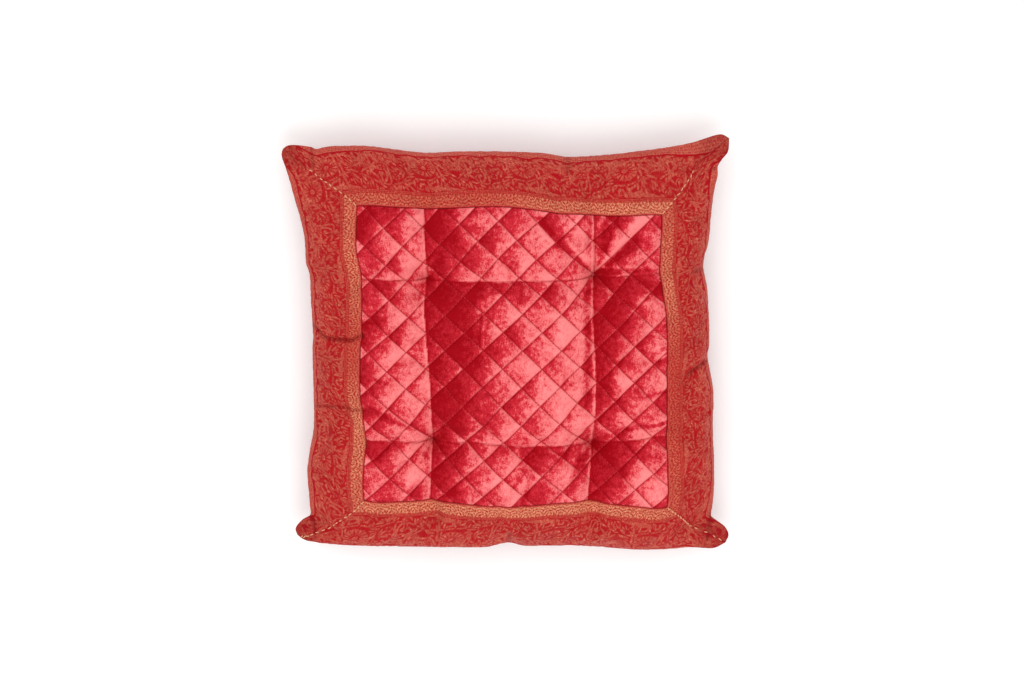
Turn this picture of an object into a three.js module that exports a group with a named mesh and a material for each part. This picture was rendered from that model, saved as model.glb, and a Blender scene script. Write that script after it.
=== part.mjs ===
// A square quilted floor cushion, filled and tufted, lying on its back with its face up.
// Six sewn pieces: the filled back, the quilted velvet panel in the middle of the face, and
// four mitred brocade ribbons round it. Millimetres, +Z up, +Y towards the cushion's top edge.
// The cover is a square of cloth. A point of it is (s, t), each from -1 to 1, seam to seam.
import * as THREE from 'three';

const COVER = 406;             // side of the square cover, seam to seam, as cut
const PANEL = 278;             // side of the velvet panel, as sewn in
const SEAM_HEIGHT = 37;        // side seam above the floor
const EAR_DROOP = 7;           // how far the corners hang below the side seam's height
const FACE_CROWN = 46;         // crown of the face above the side seam
const BACK_CROWN = 45;         // crown of the back below it, before the floor presses it flat
const CROWN_POWER = 3.2;       // higher is flatter in the middle and rounder at the shoulder
const SHOULDER = 8.6;          // how late the cloth turns down into the side seam
const RIBBON_THICK = 1.5;      // brocade ribbon with its turned edge
const VELVET_THICK = 1.8;      // velvet and lining along a quilting line
const PUFF = 3;                // wadding between the quilting lines
const PUFF_POWER = 2.4;        // roundness of a quilted diamond
const GAP = 0.4;               // between pieces that are sewn together

// The quilting: diamonds this wide and high, crossing at this point of the cloth.
const DIAMOND = { wide: 35.1, high: 34.1, atX: -115.1, atY: 120.9 };
const CELLS_PER_DIAMOND = 4;   // lattice cells across one diamond
const RING = [0.78, 0.87, 0.93, 0.97, 1];   // lattice lines across a ribbon, as shares of half

// How far each side stands out from the middle of the cushion where the ribbons start to bend
// down: where along the side, from -1 to 1, and how far out.
const DRAWN_IN = {
  right: [
    [-1, 194], [-0.685, 191.3], [-0.4, 188.7], [0, 187.8], [0.2, 186.8], [0.45, 180.6],
    [0.685, 184.2], [1, 196],
  ],
  left: [
    [-1, 181], [-0.685, 173.6], [-0.57, 172], [-0.38, 169], [-0.2, 173.6], [0, 173.2],
    [0.3, 171.2], [0.5, 176], [0.685, 177.6], [1, 199],
  ],
  top: [
    [-1, 177], [-0.685, 173.4], [-0.36, 169.3], [-0.04, 172.4], [0.3, 163.6], [0.685, 165.2],
    [1, 187],
  ],
  bottom: [
    [-1, 182], [-0.685, 184.6], [-0.39, 181], [-0.05, 186.8], [0.3, 181], [0.55, 186.6],
    [0.685, 190.4], [1, 185],
  ],
};

// The side seam round the outline, with its puckers and its four ears: where along the side,
// then x and y on the plan.
const SEAM = {
  right: [
    [-1, 200.5, -186.5], [-0.965, 203, -178.5], [-0.94, 200, -173], [-0.915, 193, -167.5],
    [-0.89, 187, -162.5], [-0.84, 187.5, -153.5], [-0.75, 188.5, -137], [-0.6, 188, -109],
    [-0.4, 186.5, -77], [-0.2, 186.5, -43], [-0.07, 182.8, -13], [0, 184, -1], [0.08, 184, 13],
    [0.2, 183, 34], [0.3, 181.5, 52], [0.38, 178, 69], [0.45, 179, 80], [0.55, 182.8, 97],
    [0.68, 185, 122], [0.78, 187.5, 140], [0.85, 191, 154], [0.885, 191.2, 161.5],
    [0.92, 196, 168], [0.96, 200.6, 175.5], [1, 200.5, 187.5],
  ],
  left: [
    [-1, -189.5, -179.5], [-0.97, -191, -173], [-0.935, -184.5, -166.5], [-0.905, -176.8, -161.5],
    [-0.86, -178, -152], [-0.78, -180, -137], [-0.7, -180.8, -120], [-0.6, -178.5, -102],
    [-0.5, -174.8, -82], [-0.38, -174, -60], [-0.2, -174.5, -28], [-0.05, -174.6, -3],
    [0.02, -174, 6], [0.2, -175.7, 41], [0.33, -176.6, 63], [0.4, -179.8, 75], [0.46, -180.2, 85],
    [0.56, -181.6, 101], [0.65, -184.8, 116], [0.74, -189.3, 131], [0.82, -193.4, 146],
    [0.9, -198, 160], [0.965, -202, 171.5], [1, -200.6, 177],
  ],
  top: [
    [-1, -200.6, 177], [-0.965, -196, 180], [-0.9, -185.5, 180], [-0.86, -176.5, 178.5],
    [-0.83, -171, 176.5], [-0.79, -164.5, 178], [-0.72, -152.5, 179], [-0.58, -125.5, 179],
    [-0.45, -100.5, 176], [-0.32, -73.5, 173], [-0.15, -41.5, 174], [0.05, -0.5, 174],
    [0.2, 33, 172.5], [0.29, 55, 169.3], [0.36, 69.5, 169.5], [0.5, 96.5, 171.5],
    [0.62, 122, 174.5], [0.75, 147.5, 178], [0.86, 169.5, 183], [0.93, 184, 187.5],
    [0.97, 194.5, 190.3], [1, 200.5, 187.5],
  ],
  bottom: [
    [-1, -189.5, -179.5], [-0.96, -184, -183.5], [-0.9, -176, -186], [-0.82, -163.5, -187],
    [-0.7, -142, -187.5], [-0.5, -103.5, -187.5], [-0.25, -54, -188], [-0.08, -19, -187.5],
    [0.02, 2, -184], [0.1, 17, -186.5], [0.3, 58.5, -186.5], [0.42, 82, -187.5],
    [0.6, 117, -190.5], [0.75, 145, -191], [0.88, 172, -190.5], [0.955, 190, -191],
    [1, 200.5, -186.5],
  ],
};
const SEAM_PULL = 0.72;        // share of the half cover where the seam's own outline sets in

// Folds that run in from the puckers of the side seam: where along the side, how long the fold
// is and how deep at the seam.
const PUCKERS = [
  { side: 'right', at: 0.38, run: 22, deep: 2.5 },
  { side: 'right', at: -0.07, run: 26, deep: 2.5 },
  { side: 'right', at: 0.885, run: 26, deep: 5 },
  { side: 'right', at: -0.9, run: 24, deep: 6 },
  { side: 'left', at: 0.02, run: 54, deep: 4 },
  { side: 'left', at: -0.34, run: 56, deep: 4 },
  { side: 'left', at: 0.33, run: 18, deep: 2 },
  { side: 'left', at: -0.9, run: 24, deep: 6 },
  { side: 'top', at: -0.83, run: 26, deep: 4 },
  { side: 'top', at: 0.29, run: 20, deep: 3 },
  { side: 'bottom', at: 0.02, run: 28, deep: 4 },
];

// The four tufts, stitched through the filling, as places on the plan.
const TUFTS = [[-71, 63], [79.5, 65], [-66.5, -86], [79, -87]];
const TUFT = { deep: 21, wide: 15 };
const BACK_TUFT = { deep: 13, reach: 34 };

// Creases drawn tight between the tufts and out to the panel's edge: the two ends on the plan,
// how deep the crease is at each, and how wide its flanks are.
const CREASES = [
  { from: [-73.5, 128], to: [-71, 63], deep: [4, 9], wide: 15 },
  { from: [-71, 63], to: [-73, 40], deep: [9, 7], wide: 20 },
  { from: [-73, 40], to: [-68, -36], deep: [7, 7], wide: 20 },
  { from: [-68, -36], to: [-66.5, -86], deep: [7, 9], wide: 20 },
  { from: [-66.5, -86], to: [-69, -139], deep: [9, 4], wide: 15 },
  { from: [80, 124], to: [79.5, 65], deep: [4, 9], wide: 15 },
  { from: [79.5, 65], to: [79, 32], deep: [9, 7], wide: 20 },
  { from: [79, 32], to: [82, -35], deep: [7, 6], wide: 20 },
  { from: [82, -35], to: [79, -87], deep: [6, 9], wide: 20 },
  { from: [79, -87], to: [75, -140], deep: [9, 4], wide: 15 },
  { from: [-129, 64], to: [-71, 63], deep: [3, 9], wide: 14 },
  { from: [-71, 63], to: [-25, 63], deep: [9, 4], wide: 16 },
  { from: [-25, 63], to: [53, 64], deep: [4, 4], wide: 16 },
  { from: [53, 64], to: [79.5, 65], deep: [4, 9], wide: 16 },
  { from: [79.5, 65], to: [143, 70], deep: [9, 3], wide: 14 },
  { from: [-126, -84], to: [-66.5, -86], deep: [3, 9], wide: 14 },
  { from: [-66.5, -86], to: [-28, -85], deep: [9, 5], wide: 16 },
  { from: [-28, -85], to: [14, -89], deep: [5, 5], wide: 16 },
  { from: [14, -89], to: [79, -87], deep: [5, 9], wide: 16 },
  { from: [79, -87], to: [145, -80], deep: [9, 3], wide: 14 },
  { from: [79.5, 65], to: [128, 118], deep: [9, 2], wide: 8 },
  { from: [79.5, 65], to: [98, 120], deep: [8, 1], wide: 7 },
  { from: [-71, 63], to: [-86, 124], deep: [8, 2], wide: 7 },
  { from: [-66.5, -86], to: [-118, -64], deep: [8, 1], wide: 7 },
  { from: [79, -87], to: [122, -128], deep: [8, 1], wide: 8 },
];
const FOLD_BLEND = 3;          // how sharply the deepest fold wins over its neighbours

const HALF = COVER / 2;
const EDGE = PANEL / COVER;    // where the panel ends, as a share of the half cover

const clamp = (value, low, high) => Math.min(high, Math.max(low, value));
const smooth = (low, high, value) => {
  const q = clamp((value - low) / (high - low), 0, 1);
  return q * q * (3 - 2 * q);
};

// A smooth curve through one column of a table whose first column says where each row is.
function along(table, at, column = 1) {
  let k = table.findIndex(row => row[0] >= at) - 1;
  if (k < 0) k = at > 0 ? table.length - 2 : 0;
  const slope = i => {
    const before = table[Math.max(0, i - 1)];
    const after = table[Math.min(table.length - 1, i + 1)];
    return (after[column] - before[column]) / (after[0] - before[0]);
  };
  const [low, high] = [table[k], table[k + 1]];
  const span = high[0] - low[0];
  const q = (at - low[0]) / span;
  return low[column] + (high[column] - low[column]) * q * q * (3 - 2 * q)
    + span * q * (1 - q) * ((1 - q) * slope(k) - q * slope(k + 1));
}

const turn = q => q * (1 + (1 - Math.abs(q) ** SHOULDER) / SHOULDER);
const crown = q => Math.sqrt(Math.max(0, 1 - Math.abs(turn(q)) ** CROWN_POWER));

// The drawn-in square that the cover is spread over, before its seam's own outline.
function spread(s, t) {
  const [right, left] = [along(DRAWN_IN.right, t), along(DRAWN_IN.left, t)];
  const [top, bottom] = [along(DRAWN_IN.top, s), along(DRAWN_IN.bottom, s)];
  const across = turn(s) + (s - turn(s)) * smooth(0.6, 1, Math.abs(t));
  const up = turn(t) + (t - turn(t)) * smooth(0.6, 1, Math.abs(s));
  return [
    (right - left) / 2 + across * (right + left) / 2,
    (top - bottom) / 2 + up * (top + bottom) / 2,
  ];
}

// Where a point of the cover lies on the plan: spread out, then pulled to the seam's outline.
function plan(s, t) {
  const [upright, level] = [s < 0 ? 'left' : 'right', t < 0 ? 'bottom' : 'top'];
  const [endS, endT] = [s < 0 ? -1 : 1, t < 0 ? -1 : 1];
  const pull = (side, at, from) => {
    const start = spread(...from);
    return [1, 2].map(column => along(SEAM[side], at, column) - start[column - 1]);
  };
  const bySide = pull(upright, t, [endS, t]);
  const byEnd = pull(level, s, [s, endT]);
  const byEar = pull(upright, endT, [endS, endT]);
  const [a, b] = [smooth(SEAM_PULL, 1, Math.abs(s)), smooth(SEAM_PULL, 1, Math.abs(t))];
  return spread(s, t).map((at, k) => at + a * bySide[k] + b * byEnd[k] - a * b * byEar[k]);
}

const seamHeight = (s, t) => SEAM_HEIGHT - EAR_DROOP * Math.abs(s * t) ** 5;

// How far along a crease the nearest point is, and how far away it is.
function nearest(x, y, from, to) {
  const [dx, dy] = [to[0] - from[0], to[1] - from[1]];
  const q = clamp(((x - from[0]) * dx + (y - from[1]) * dy) / (dx * dx + dy * dy), 0, 1);
  return [q, Math.hypot(x - from[0] - q * dx, y - from[1] - q * dy)];
}

// How deep the tufts and creases pull the face down at a place on the plan.
function sunk(x, y) {
  const depths = TUFTS.map(([tx, ty]) =>
    (TUFT.deep + 9) * Math.exp(-Math.hypot(x - tx, y - ty) / TUFT.wide));
  for (const { from, to, deep, wide } of CREASES) {
    const [q, far] = nearest(x, y, from, to);
    depths.push((deep[0] + (deep[1] - deep[0]) * q) * Math.exp(-far / wide));
  }
  return depths.reduce((sum, d) => sum + d ** FOLD_BLEND, 0) ** (1 / FOLD_BLEND);
}

// How deep the puckers' folds are at a point of the cover.
function puckered(s, t) {
  const reach = { right: [s, t], left: [-s, t], top: [t, s], bottom: [-t, s] };
  return PUCKERS.reduce((sum, p) => {
    const [out, at] = reach[p.side];
    const inwards = (1 - out) * HALF / p.run;
    if (out < 0 || inwards > 1) return sum;
    return sum + p.deep * (1 - inwards ** 2) * Math.exp(-Math.abs(at - p.at) * HALF / 7);
  }, 0);
}

// The face's form with no folds in it.
function form(s, t) {
  const [x, y] = plan(s, t);
  return new THREE.Vector3(x, y, seamHeight(s, t) + FACE_CROWN * crown(s) * crown(t));
}

// The way out of the cushion at a point of the face.
function outwards(s, t) {
  const step = 0.004;
  const low = [clamp(s - step, -1, 1), clamp(t - step, -1, 1)];
  const high = [clamp(s + step, -1, 1), clamp(t + step, -1, 1)];
  const alongS = form(high[0], t).sub(form(low[0], t));
  const alongT = form(s, high[1]).sub(form(s, low[1]));
  return alongS.cross(alongT).normalize();
}

// The filled cushion's face: its form, pulled down by the tufts, the creases and the puckers.
function face(s, t) {
  const point = form(s, t);
  const inner = 1 - smooth(EDGE, 0.86, Math.max(Math.abs(s), Math.abs(t)));
  point.z -= sunk(point.x, point.y) * inner;
  return point.addScaledVector(outwards(s, t), -puckered(s, t) * crown(s) * crown(t));
}

// The back: bulged, pressed flat by the floor, and dimpled where the tufts come through.
function back(s, t) {
  const [x, y] = plan(s, t);
  const bulge = Math.max(0, seamHeight(s, t) - BACK_CROWN * crown(s) * crown(t));
  const dimple = TUFTS.reduce((sum, [tx, ty]) => {
    const far = Math.hypot(x - tx, y - ty) / BACK_TUFT.reach;
    return sum + BACK_TUFT.deep * Math.max(0, 1 - far) ** 2;
  }, 0);
  return new THREE.Vector3(x, y, bulge + dimple);
}

// How much the wadding stands up between the quilting lines, falling to none at the panel's edge.
function puff(s, t) {
  const across = (s * HALF - DIAMOND.atX) / DIAMOND.wide;
  const up = (t * HALF - DIAMOND.atY) / DIAMOND.high;
  const dome = q => 1 - Math.abs(2 * (q - Math.floor(q)) - 1) ** PUFF_POWER;
  const inner = 1 - smooth(EDGE - 0.045, EDGE - 0.002, Math.max(Math.abs(s), Math.abs(t)));
  return PUFF * dome(across + up) * dome(across - up) * inner;
}

// Lattice lines across the cover: the ribbons' lines, the panel's edges, and between them lines
// that follow the quilting, so that every quilting line runs along the edges of triangles.
function latticeLines(crossing, diamond) {
  const step = diamond / CELLS_PER_DIAMOND / HALF;
  const lines = [];
  const first = Math.ceil((-EDGE - crossing / HALF) / step);
  for (let k = first; ; k++) {
    const at = crossing / HALF + k * step;
    if (at > EDGE) break;
    if (at - -EDGE > step / 3 && EDGE - at > step / 3) lines.push({ at, k });
  }
  const inner = [{ at: -EDGE, k: lines[0].k - 1 }, ...lines, { at: EDGE, k: lines.at(-1).k + 1 }];
  const ring = sign => RING.map(at => ({ at: sign * at, k: 0 }));
  return [...ring(-1).reverse(), ...inner, ...ring(1)];
}

const ACROSS = latticeLines(DIAMOND.atX, DIAMOND.wide);
const UP = latticeLines(DIAMOND.atY, DIAMOND.high);
const idOf = (i, j) => j * ACROSS.length + i;
const place = id => [ACROSS[id % ACROSS.length].at, UP[Math.floor(id / ACROSS.length)].at];

// The face's triangles. In the corners they are cut along the mitres, and in the panel along
// the quilting lines.
function faceTriangles() {
  const triangles = [];
  for (let j = 0; j < UP.length - 1; j++) {
    for (let i = 0; i < ACROSS.length - 1; i++) {
      const [a, b, c, d] = [idOf(i, j), idOf(i + 1, j), idOf(i + 1, j + 1), idOf(i, j + 1)];
      const s = (ACROSS[i].at + ACROSS[i + 1].at) / 2;
      const t = (UP[j].at + UP[j + 1].at) / 2;
      const quilted = Math.max(Math.abs(s), Math.abs(t)) < EDGE;
      const rising = quilted ? (ACROSS[i].k + UP[j].k) % 2 === 0 : s * t > 0;
      triangles.push(...(rising ? [[a, b, c], [a, c, d]] : [[a, b, d], [b, c, d]]));
    }
  }
  return triangles;
}

// The back's triangles, with cells twice as wide, joined to every point of the seam.
function backTriangles() {
  const [right, top] = [ACROSS.length - 1, UP.length - 1];
  const every = last => [...Array(Math.floor(last / 2)).keys()].map(k => 2 * k).concat(last);
  const triangles = [];
  const columns = every(right);
  const rows = every(top);
  for (let n = 0; n < rows.length - 1; n++) {
    for (let m = 0; m < columns.length - 1; m++) {
      const [i0, i1, j0, j1] = [columns[m], columns[m + 1], rows[n], rows[n + 1]];
      const outline = [];
      for (let i = i0; i < i1; i++) if (i === i0 || j0 === 0) outline.push(idOf(i, j0));
      for (let j = j0; j < j1; j++) if (j === j0 || i1 === right) outline.push(idOf(i1, j));
      for (let i = i1; i > i0; i--) if (i === i1 || j1 === top) outline.push(idOf(i, j1));
      for (let j = j1; j > j0; j--) if (j === j1 || i0 === 0) outline.push(idOf(i0, j));
      const hub = outline.indexOf(idOf(i0 === 0 ? i1 : i0, j0 === 0 ? j1 : j0));
      const ring = [...outline.slice(hub), ...outline.slice(0, hub)];
      for (let k = 1; k < ring.length - 1; k++) triangles.push([ring[0], ring[k + 1], ring[k]]);
    }
  }
  return triangles;
}

// A closed body from triangles, each a list of three points.
function solid(name, color, roughness, metalness, triangles) {
  const geometry = new THREE.BufferGeometry();
  const numbers = triangles.flatMap(corners => corners.flatMap(p => p.toArray()));
  geometry.setAttribute('position', new THREE.Float32BufferAttribute(numbers, 3));
  geometry.computeVertexNormals();
  const material = new THREE.MeshStandardMaterial({ color, roughness, metalness });
  const mesh = new THREE.Mesh(geometry, material);
  mesh.name = name;
  return mesh;
}

// A sheet of cloth over some of the face's triangles: its upper side, its under side, and a rim
// along each edge that only one of its triangles has.
function sheet(triangles, under, upper) {
  const edges = new Set(triangles.flatMap(([a, b, c]) => [`${a},${b}`, `${b},${c}`, `${c},${a}`]));
  const faces = triangles.flatMap(([a, b, c]) =>
    [[upper(a), upper(b), upper(c)], [under(c), under(b), under(a)]]);
  for (const edge of edges) {
    const [a, b] = edge.split(',').map(Number);
    if (edges.has(`${b},${a}`)) continue;
    faces.push([upper(b), upper(a), under(a)], [upper(b), under(a), under(b)]);
  }
  return faces;
}

// Which piece a triangle of the face belongs to.
function pieceOf(triangle) {
  const [s, t] = [0, 1].map(k => triangle.reduce((sum, id) => sum + place(id)[k], 0) / 3);
  if (Math.max(Math.abs(s), Math.abs(t)) < EDGE) return 'panel';
  if (Math.abs(t) > Math.abs(s)) return t > 0 ? 'top' : 'bottom';
  return s > 0 ? 'right' : 'left';
}

// Keeps a piece's points off its neighbours: the panel inside its edge, a ribbon outside it and
// short of its mitres.
function trimmed(piece, id) {
  const [s, t] = place(id);
  const gap = GAP / 2 / HALF;
  if (piece === 'panel') return [s, t].map(q => clamp(q, gap - EDGE, EDGE - gap));
  const upright = piece === 'top' || piece === 'bottom';
  const [out, by] = upright ? [t, s] : [s, t];
  const far = Math.sign(out) * Math.max(Math.abs(out), EDGE + gap);
  const near = clamp(by, 2 * gap - Math.abs(far), Math.abs(far) - 2 * gap);
  return upright ? [near, far] : [far, near];
}

const UPWARDS = new THREE.Vector3(0, 0, 1);

function ribbon(side, triangles) {
  const at = (id, lift) => {
    const [s, t] = trimmed(side, id);
    return face(s, t).addScaledVector(outwards(s, t), lift);
  };
  return sheet(triangles, id => at(id, GAP), id => at(id, GAP + RIBBON_THICK));
}

function quiltedPanel(triangles) {
  const at = (id, lift) => {
    const [s, t] = trimmed('panel', id);
    return face(s, t).addScaledVector(UPWARDS, lift(s, t));
  };
  return sheet(triangles, id => at(id, () => GAP), id => at(id, (s, t) => GAP + VELVET_THICK + puff(s, t)));
}

function filledBack(triangles) {
  const front = triangles.map(corners => corners.map(id => face(...place(id))));
  const behind = backTriangles().map(corners => corners.map(id => back(...place(id))));
  return [...front, ...behind];
}

const all = faceTriangles();
const pieces = Object.groupBy(all, pieceOf);
const cushion = new THREE.Group();
cushion.add(solid('filled_back', 0xb3162a, 0.8, 0, filledBack(all)));
cushion.add(solid('velvet_panel', 0xd22a40, 0.55, 0, quiltedPanel(pieces.panel)));
for (const side of ['top', 'right', 'bottom', 'left']) {
  cushion.add(solid(`brocade_${side}`, 0xbf4a3c, 0.5, 0.15, ribbon(side, pieces[side])));
}

export default cushion;
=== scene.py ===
import math

import bpy
import numpy as np
from bpy.props import FloatProperty, FloatVectorProperty, IntProperty, PointerProperty
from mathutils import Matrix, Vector


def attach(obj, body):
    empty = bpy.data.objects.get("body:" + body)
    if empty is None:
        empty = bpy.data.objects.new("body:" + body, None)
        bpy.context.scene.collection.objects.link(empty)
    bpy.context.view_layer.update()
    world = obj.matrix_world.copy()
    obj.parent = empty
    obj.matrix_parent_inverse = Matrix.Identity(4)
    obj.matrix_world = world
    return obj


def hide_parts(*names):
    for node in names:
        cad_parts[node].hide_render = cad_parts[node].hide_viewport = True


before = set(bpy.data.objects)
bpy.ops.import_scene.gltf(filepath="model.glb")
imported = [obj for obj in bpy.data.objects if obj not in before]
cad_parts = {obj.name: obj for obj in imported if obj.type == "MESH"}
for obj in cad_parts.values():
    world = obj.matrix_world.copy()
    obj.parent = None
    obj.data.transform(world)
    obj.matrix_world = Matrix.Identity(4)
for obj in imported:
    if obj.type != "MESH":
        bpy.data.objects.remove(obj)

bl_info = {
    "name": "Quilted Floor Cushion",
    "version": (1, 0, 0),
    "blender": (4, 5, 0),
    "location": "View3D > Sidebar > Cushion",
    "description": "Dresses a square floor cushion in crushed velvet and brocade ribbon",
    "category": "Object",
}

MM = 0.001
RIBBON_WIDE = 64        # millimetres, as cut

# The face's drawn-in outline where the ribbons start to bend down: where along the side, from
# -1 to 1, and how far out from the middle, in millimetres.
DRAWN_IN = {
    "right": [[-1, 194], [-0.685, 191.3], [-0.4, 188.7], [0, 187.8], [0.2, 186.8], [0.45, 180.6],
              [0.685, 184.2], [1, 196]],
    "left": [[-1, 181], [-0.685, 173.6], [-0.57, 172], [-0.38, 169], [-0.2, 173.6], [0, 173.2],
             [0.3, 171.2], [0.5, 176], [0.685, 177.6], [1, 199]],
    "top": [[-1, 177], [-0.685, 173.4], [-0.36, 169.3], [-0.04, 172.4], [0.3, 163.6],
            [0.685, 165.2], [1, 187]],
    "bottom": [[-1, 182], [-0.685, 184.6], [-0.39, 181], [-0.05, 186.8], [0.3, 181],
               [0.55, 186.6], [0.685, 190.4], [1, 185]],
}
# The side seam with its puckers and ears: where along the side, then x and y on the plan.
SEAM = {
    "right": [
        [-1, 202.7, -187.7], [-0.965, 205.2, -179.7], [-0.94, 201.8, -173],
        [-0.915, 194.8, -167.5], [-0.89, 188.8, -162.5], [-0.84, 189.1, -153.5],
        [-0.75, 190.1, -137], [-0.6, 189.6, -109], [-0.4, 188.1, -77], [-0.2, 188.1, -43],
        [-0.07, 182.8, -13], [0, 184, -1], [0.08, 184, 13], [0.2, 183, 34], [0.3, 181.5, 52],
        [0.38, 178, 69], [0.45, 179, 80], [0.55, 182.8, 97], [0.68, 185, 122], [0.78, 187.5, 140],
        [0.85, 191, 154], [0.885, 191.2, 161.5], [0.92, 195, 167.8], [0.96, 200.8, 175.3],
        [1, 201.8, 187]],
    "left": [
        [-1, -191.7, -180.5], [-0.97, -193.2, -174], [-0.935, -187.1, -166.5],
        [-0.905, -179.4, -161.5], [-0.86, -179.4, -152], [-0.78, -180, -137],
        [-0.7, -180.8, -120], [-0.6, -178.5, -102], [-0.5, -174.8, -82], [-0.38, -174, -60],
        [-0.2, -174.5, -28], [-0.05, -174.6, -3], [0.02, -174, 6], [0.2, -175.7, 41],
        [0.33, -176.6, 63], [0.4, -179.8, 75], [0.46, -180.2, 85], [0.56, -181.6, 101],
        [0.65, -184.8, 116], [0.74, -189.3, 131], [0.82, -193.4, 146], [0.9, -198, 160],
        [0.965, -202, 171.5], [1, -200.6, 177]],
    "top": [
        [-1, -200.6, 177], [-0.965, -196, 180], [-0.9, -185.5, 180], [-0.86, -176.5, 178.5],
        [-0.83, -171, 176.5], [-0.79, -164.5, 178], [-0.72, -152.5, 179], [-0.58, -125.5, 179],
        [-0.45, -100.5, 176], [-0.32, -73.5, 173], [-0.15, -41.5, 174], [0.05, -0.5, 174],
        [0.2, 33, 172.5], [0.29, 55, 169.3], [0.36, 69.5, 169.5], [0.5, 96.5, 171.5],
        [0.62, 122, 174.5], [0.75, 147.5, 178], [0.86, 169.5, 183], [0.93, 182.6, 187.5],
        [0.97, 194.4, 190.4], [1, 201.8, 187]],
    "bottom": [
        [-1, -191.7, -180.5], [-0.96, -185.8, -184.7], [-0.9, -176, -186.4],
        [-0.82, -163.5, -187.5], [-0.7, -142, -188.4], [-0.5, -103.5, -188.7],
        [-0.25, -54, -189.2], [-0.08, -19, -188.7], [0.02, 2, -185.2], [0.1, 17, -187.7],
        [0.3, 58.5, -187.7], [0.42, 82, -188.7], [0.6, 117, -191.7], [0.75, 145, -192.2],
        [0.88, 172, -191.2], [0.955, 191.6, -192.6], [1, 202.7, -187.7]],
}
SEAM_PULL = 0.72        # share of the half cover where the seam's own outline sets in
SHOULDER = 8.6          # how late the cloth turns down into the side seam
CROWN_POWER = 3.2       # higher is flatter in the middle
EAR_DROOP = 7           # millimetres that the ears hang below the side seam's height
GAP = 0.4               # millimetres between a piece and what it lies on
TUCKED = 0.3            # millimetres that the cushion's own face stays under the ribbons
SEAM_GAP = 0.1          # millimetres between two edges that are sewn together

# Folds that run in from the puckers: side, where along it, length, depth, half width.
PUCKERS = [
    ("right", 0.38, 24, 3.0, 6), ("right", -0.07, 28, 3.0, 6), ("right", 0.885, 26, 5, 6),
    ("right", -0.9, 26, 7, 6), ("left", 0.33, 18, 2, 6), ("left", -0.9, 26, 7, 6),
    ("top", -0.83, 28, 4, 6), ("top", 0.29, 24, 3, 7), ("bottom", 0.02, 30, 4, 7),
]
# Creased folds across the ribbons and at the ears' roots: points on the plan, depth, half width.
CLEFTS = [
    ([(-178, 22), (-166, 8.5), (-155, 7.5), (-139, 8.5), (-130, 13)], 2.3, 1.7),
    ([(-178, -57), (-161, -55), (-145, -53.5), (-137, -56), (-124, -55)], 1.5, 1.7),
    ([(166, -24), (184, -15)], 2.2, 1.8), ([(170, 69), (181, 70)], 1.6, 2.2),
    ([(-181.5, -160), (-176.5, -167), (-175.5, -177)], 4.4, 2.1),
    ([(189.5, -159), (187.5, -168), (185.5, -184)], 4.4, 2.1),
    ([(-175.6, 182), (-174.4, 162)], 2.4, 1.7), ([(196, 163), (183, 158)], 1.8, 1.7),
    ([(2.5, -191), (3.5, -174)], 1.6, 2.6), ([(55, 173), (57, 160)], 1.2, 2.6),
]
# How far the lower left mitre is drawn down: place along it, and the share of the half cover.
SLID_MITRE = [(0.685, 0), (0.75, 0.022), (0.82, 0.046), (0.865, 0.058), (0.915, 0.052),
              (0.965, 0.026), (1, 0)]
# Painted light on each ribbon's band: its gold is drawn brighter on sides that face the light and
# darker on those that turn away; where along the side, and how much.
BAND_PAINTED_LIGHT = {
    "top": [(-0.6, 0.9), (-0.1, 0.8), (0.15, 1.15), (0.6, 1.4)],
    "right": [(-0.6, 0.8), (-0.1, 0.6), (0.1, 0.75), (0.35, 1.2), (0.6, 0.95)],
    "bottom": [(-0.6, 1.3), (0.3, 1.45), (0.6, 1.2)],
    "left": [(-0.6, 1.1), (-0.35, 1.4), (0, 0.7), (0.35, 1.15), (0.6, 1.1)],
}
TUFTS = [(-71, 63), (79.5, 65), (-66.5, -86), (79, -87)]
TUFT_DEEP, TUFT_WIDE = 30, 15
BACK_TUFT_DEEP, BACK_TUFT_REACH = 13, 34
# The creases drawn tight between the tufts and out to the panel's edge: the two upright ones, as
# y, x and depth, and the two level ones, as x, y and depth. They part the panel into nine cells.
UPRIGHT = ([(-139, -69, 4), (-86, -66.5, 9), (-36, -68, 7), (40, -73, 7), (63, -71, 9),
            (128, -73.5, 4)],
           [(-140, 75, 4), (-87, 79, 9), (-35, 82, 6), (32, 79, 7), (65, 79.5, 9), (124, 80, 4)])
LEVEL = ([(-129, 64, 3), (-71, 63, 9), (-25, 63, 4), (53, 64, 4), (79.5, 65, 9), (143, 70, 3)],
         [(-126, -84, 3), (-66.5, -86, 9), (-28, -85, 5), (14, -89, 5), (79, -87, 9),
          (145, -80, 3)])
# The width of their flanks, in the outer stretches and between the tufts.
UPRIGHT_FLANKS, LEVEL_FLANKS = (15, 20), (14, 16)
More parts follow.
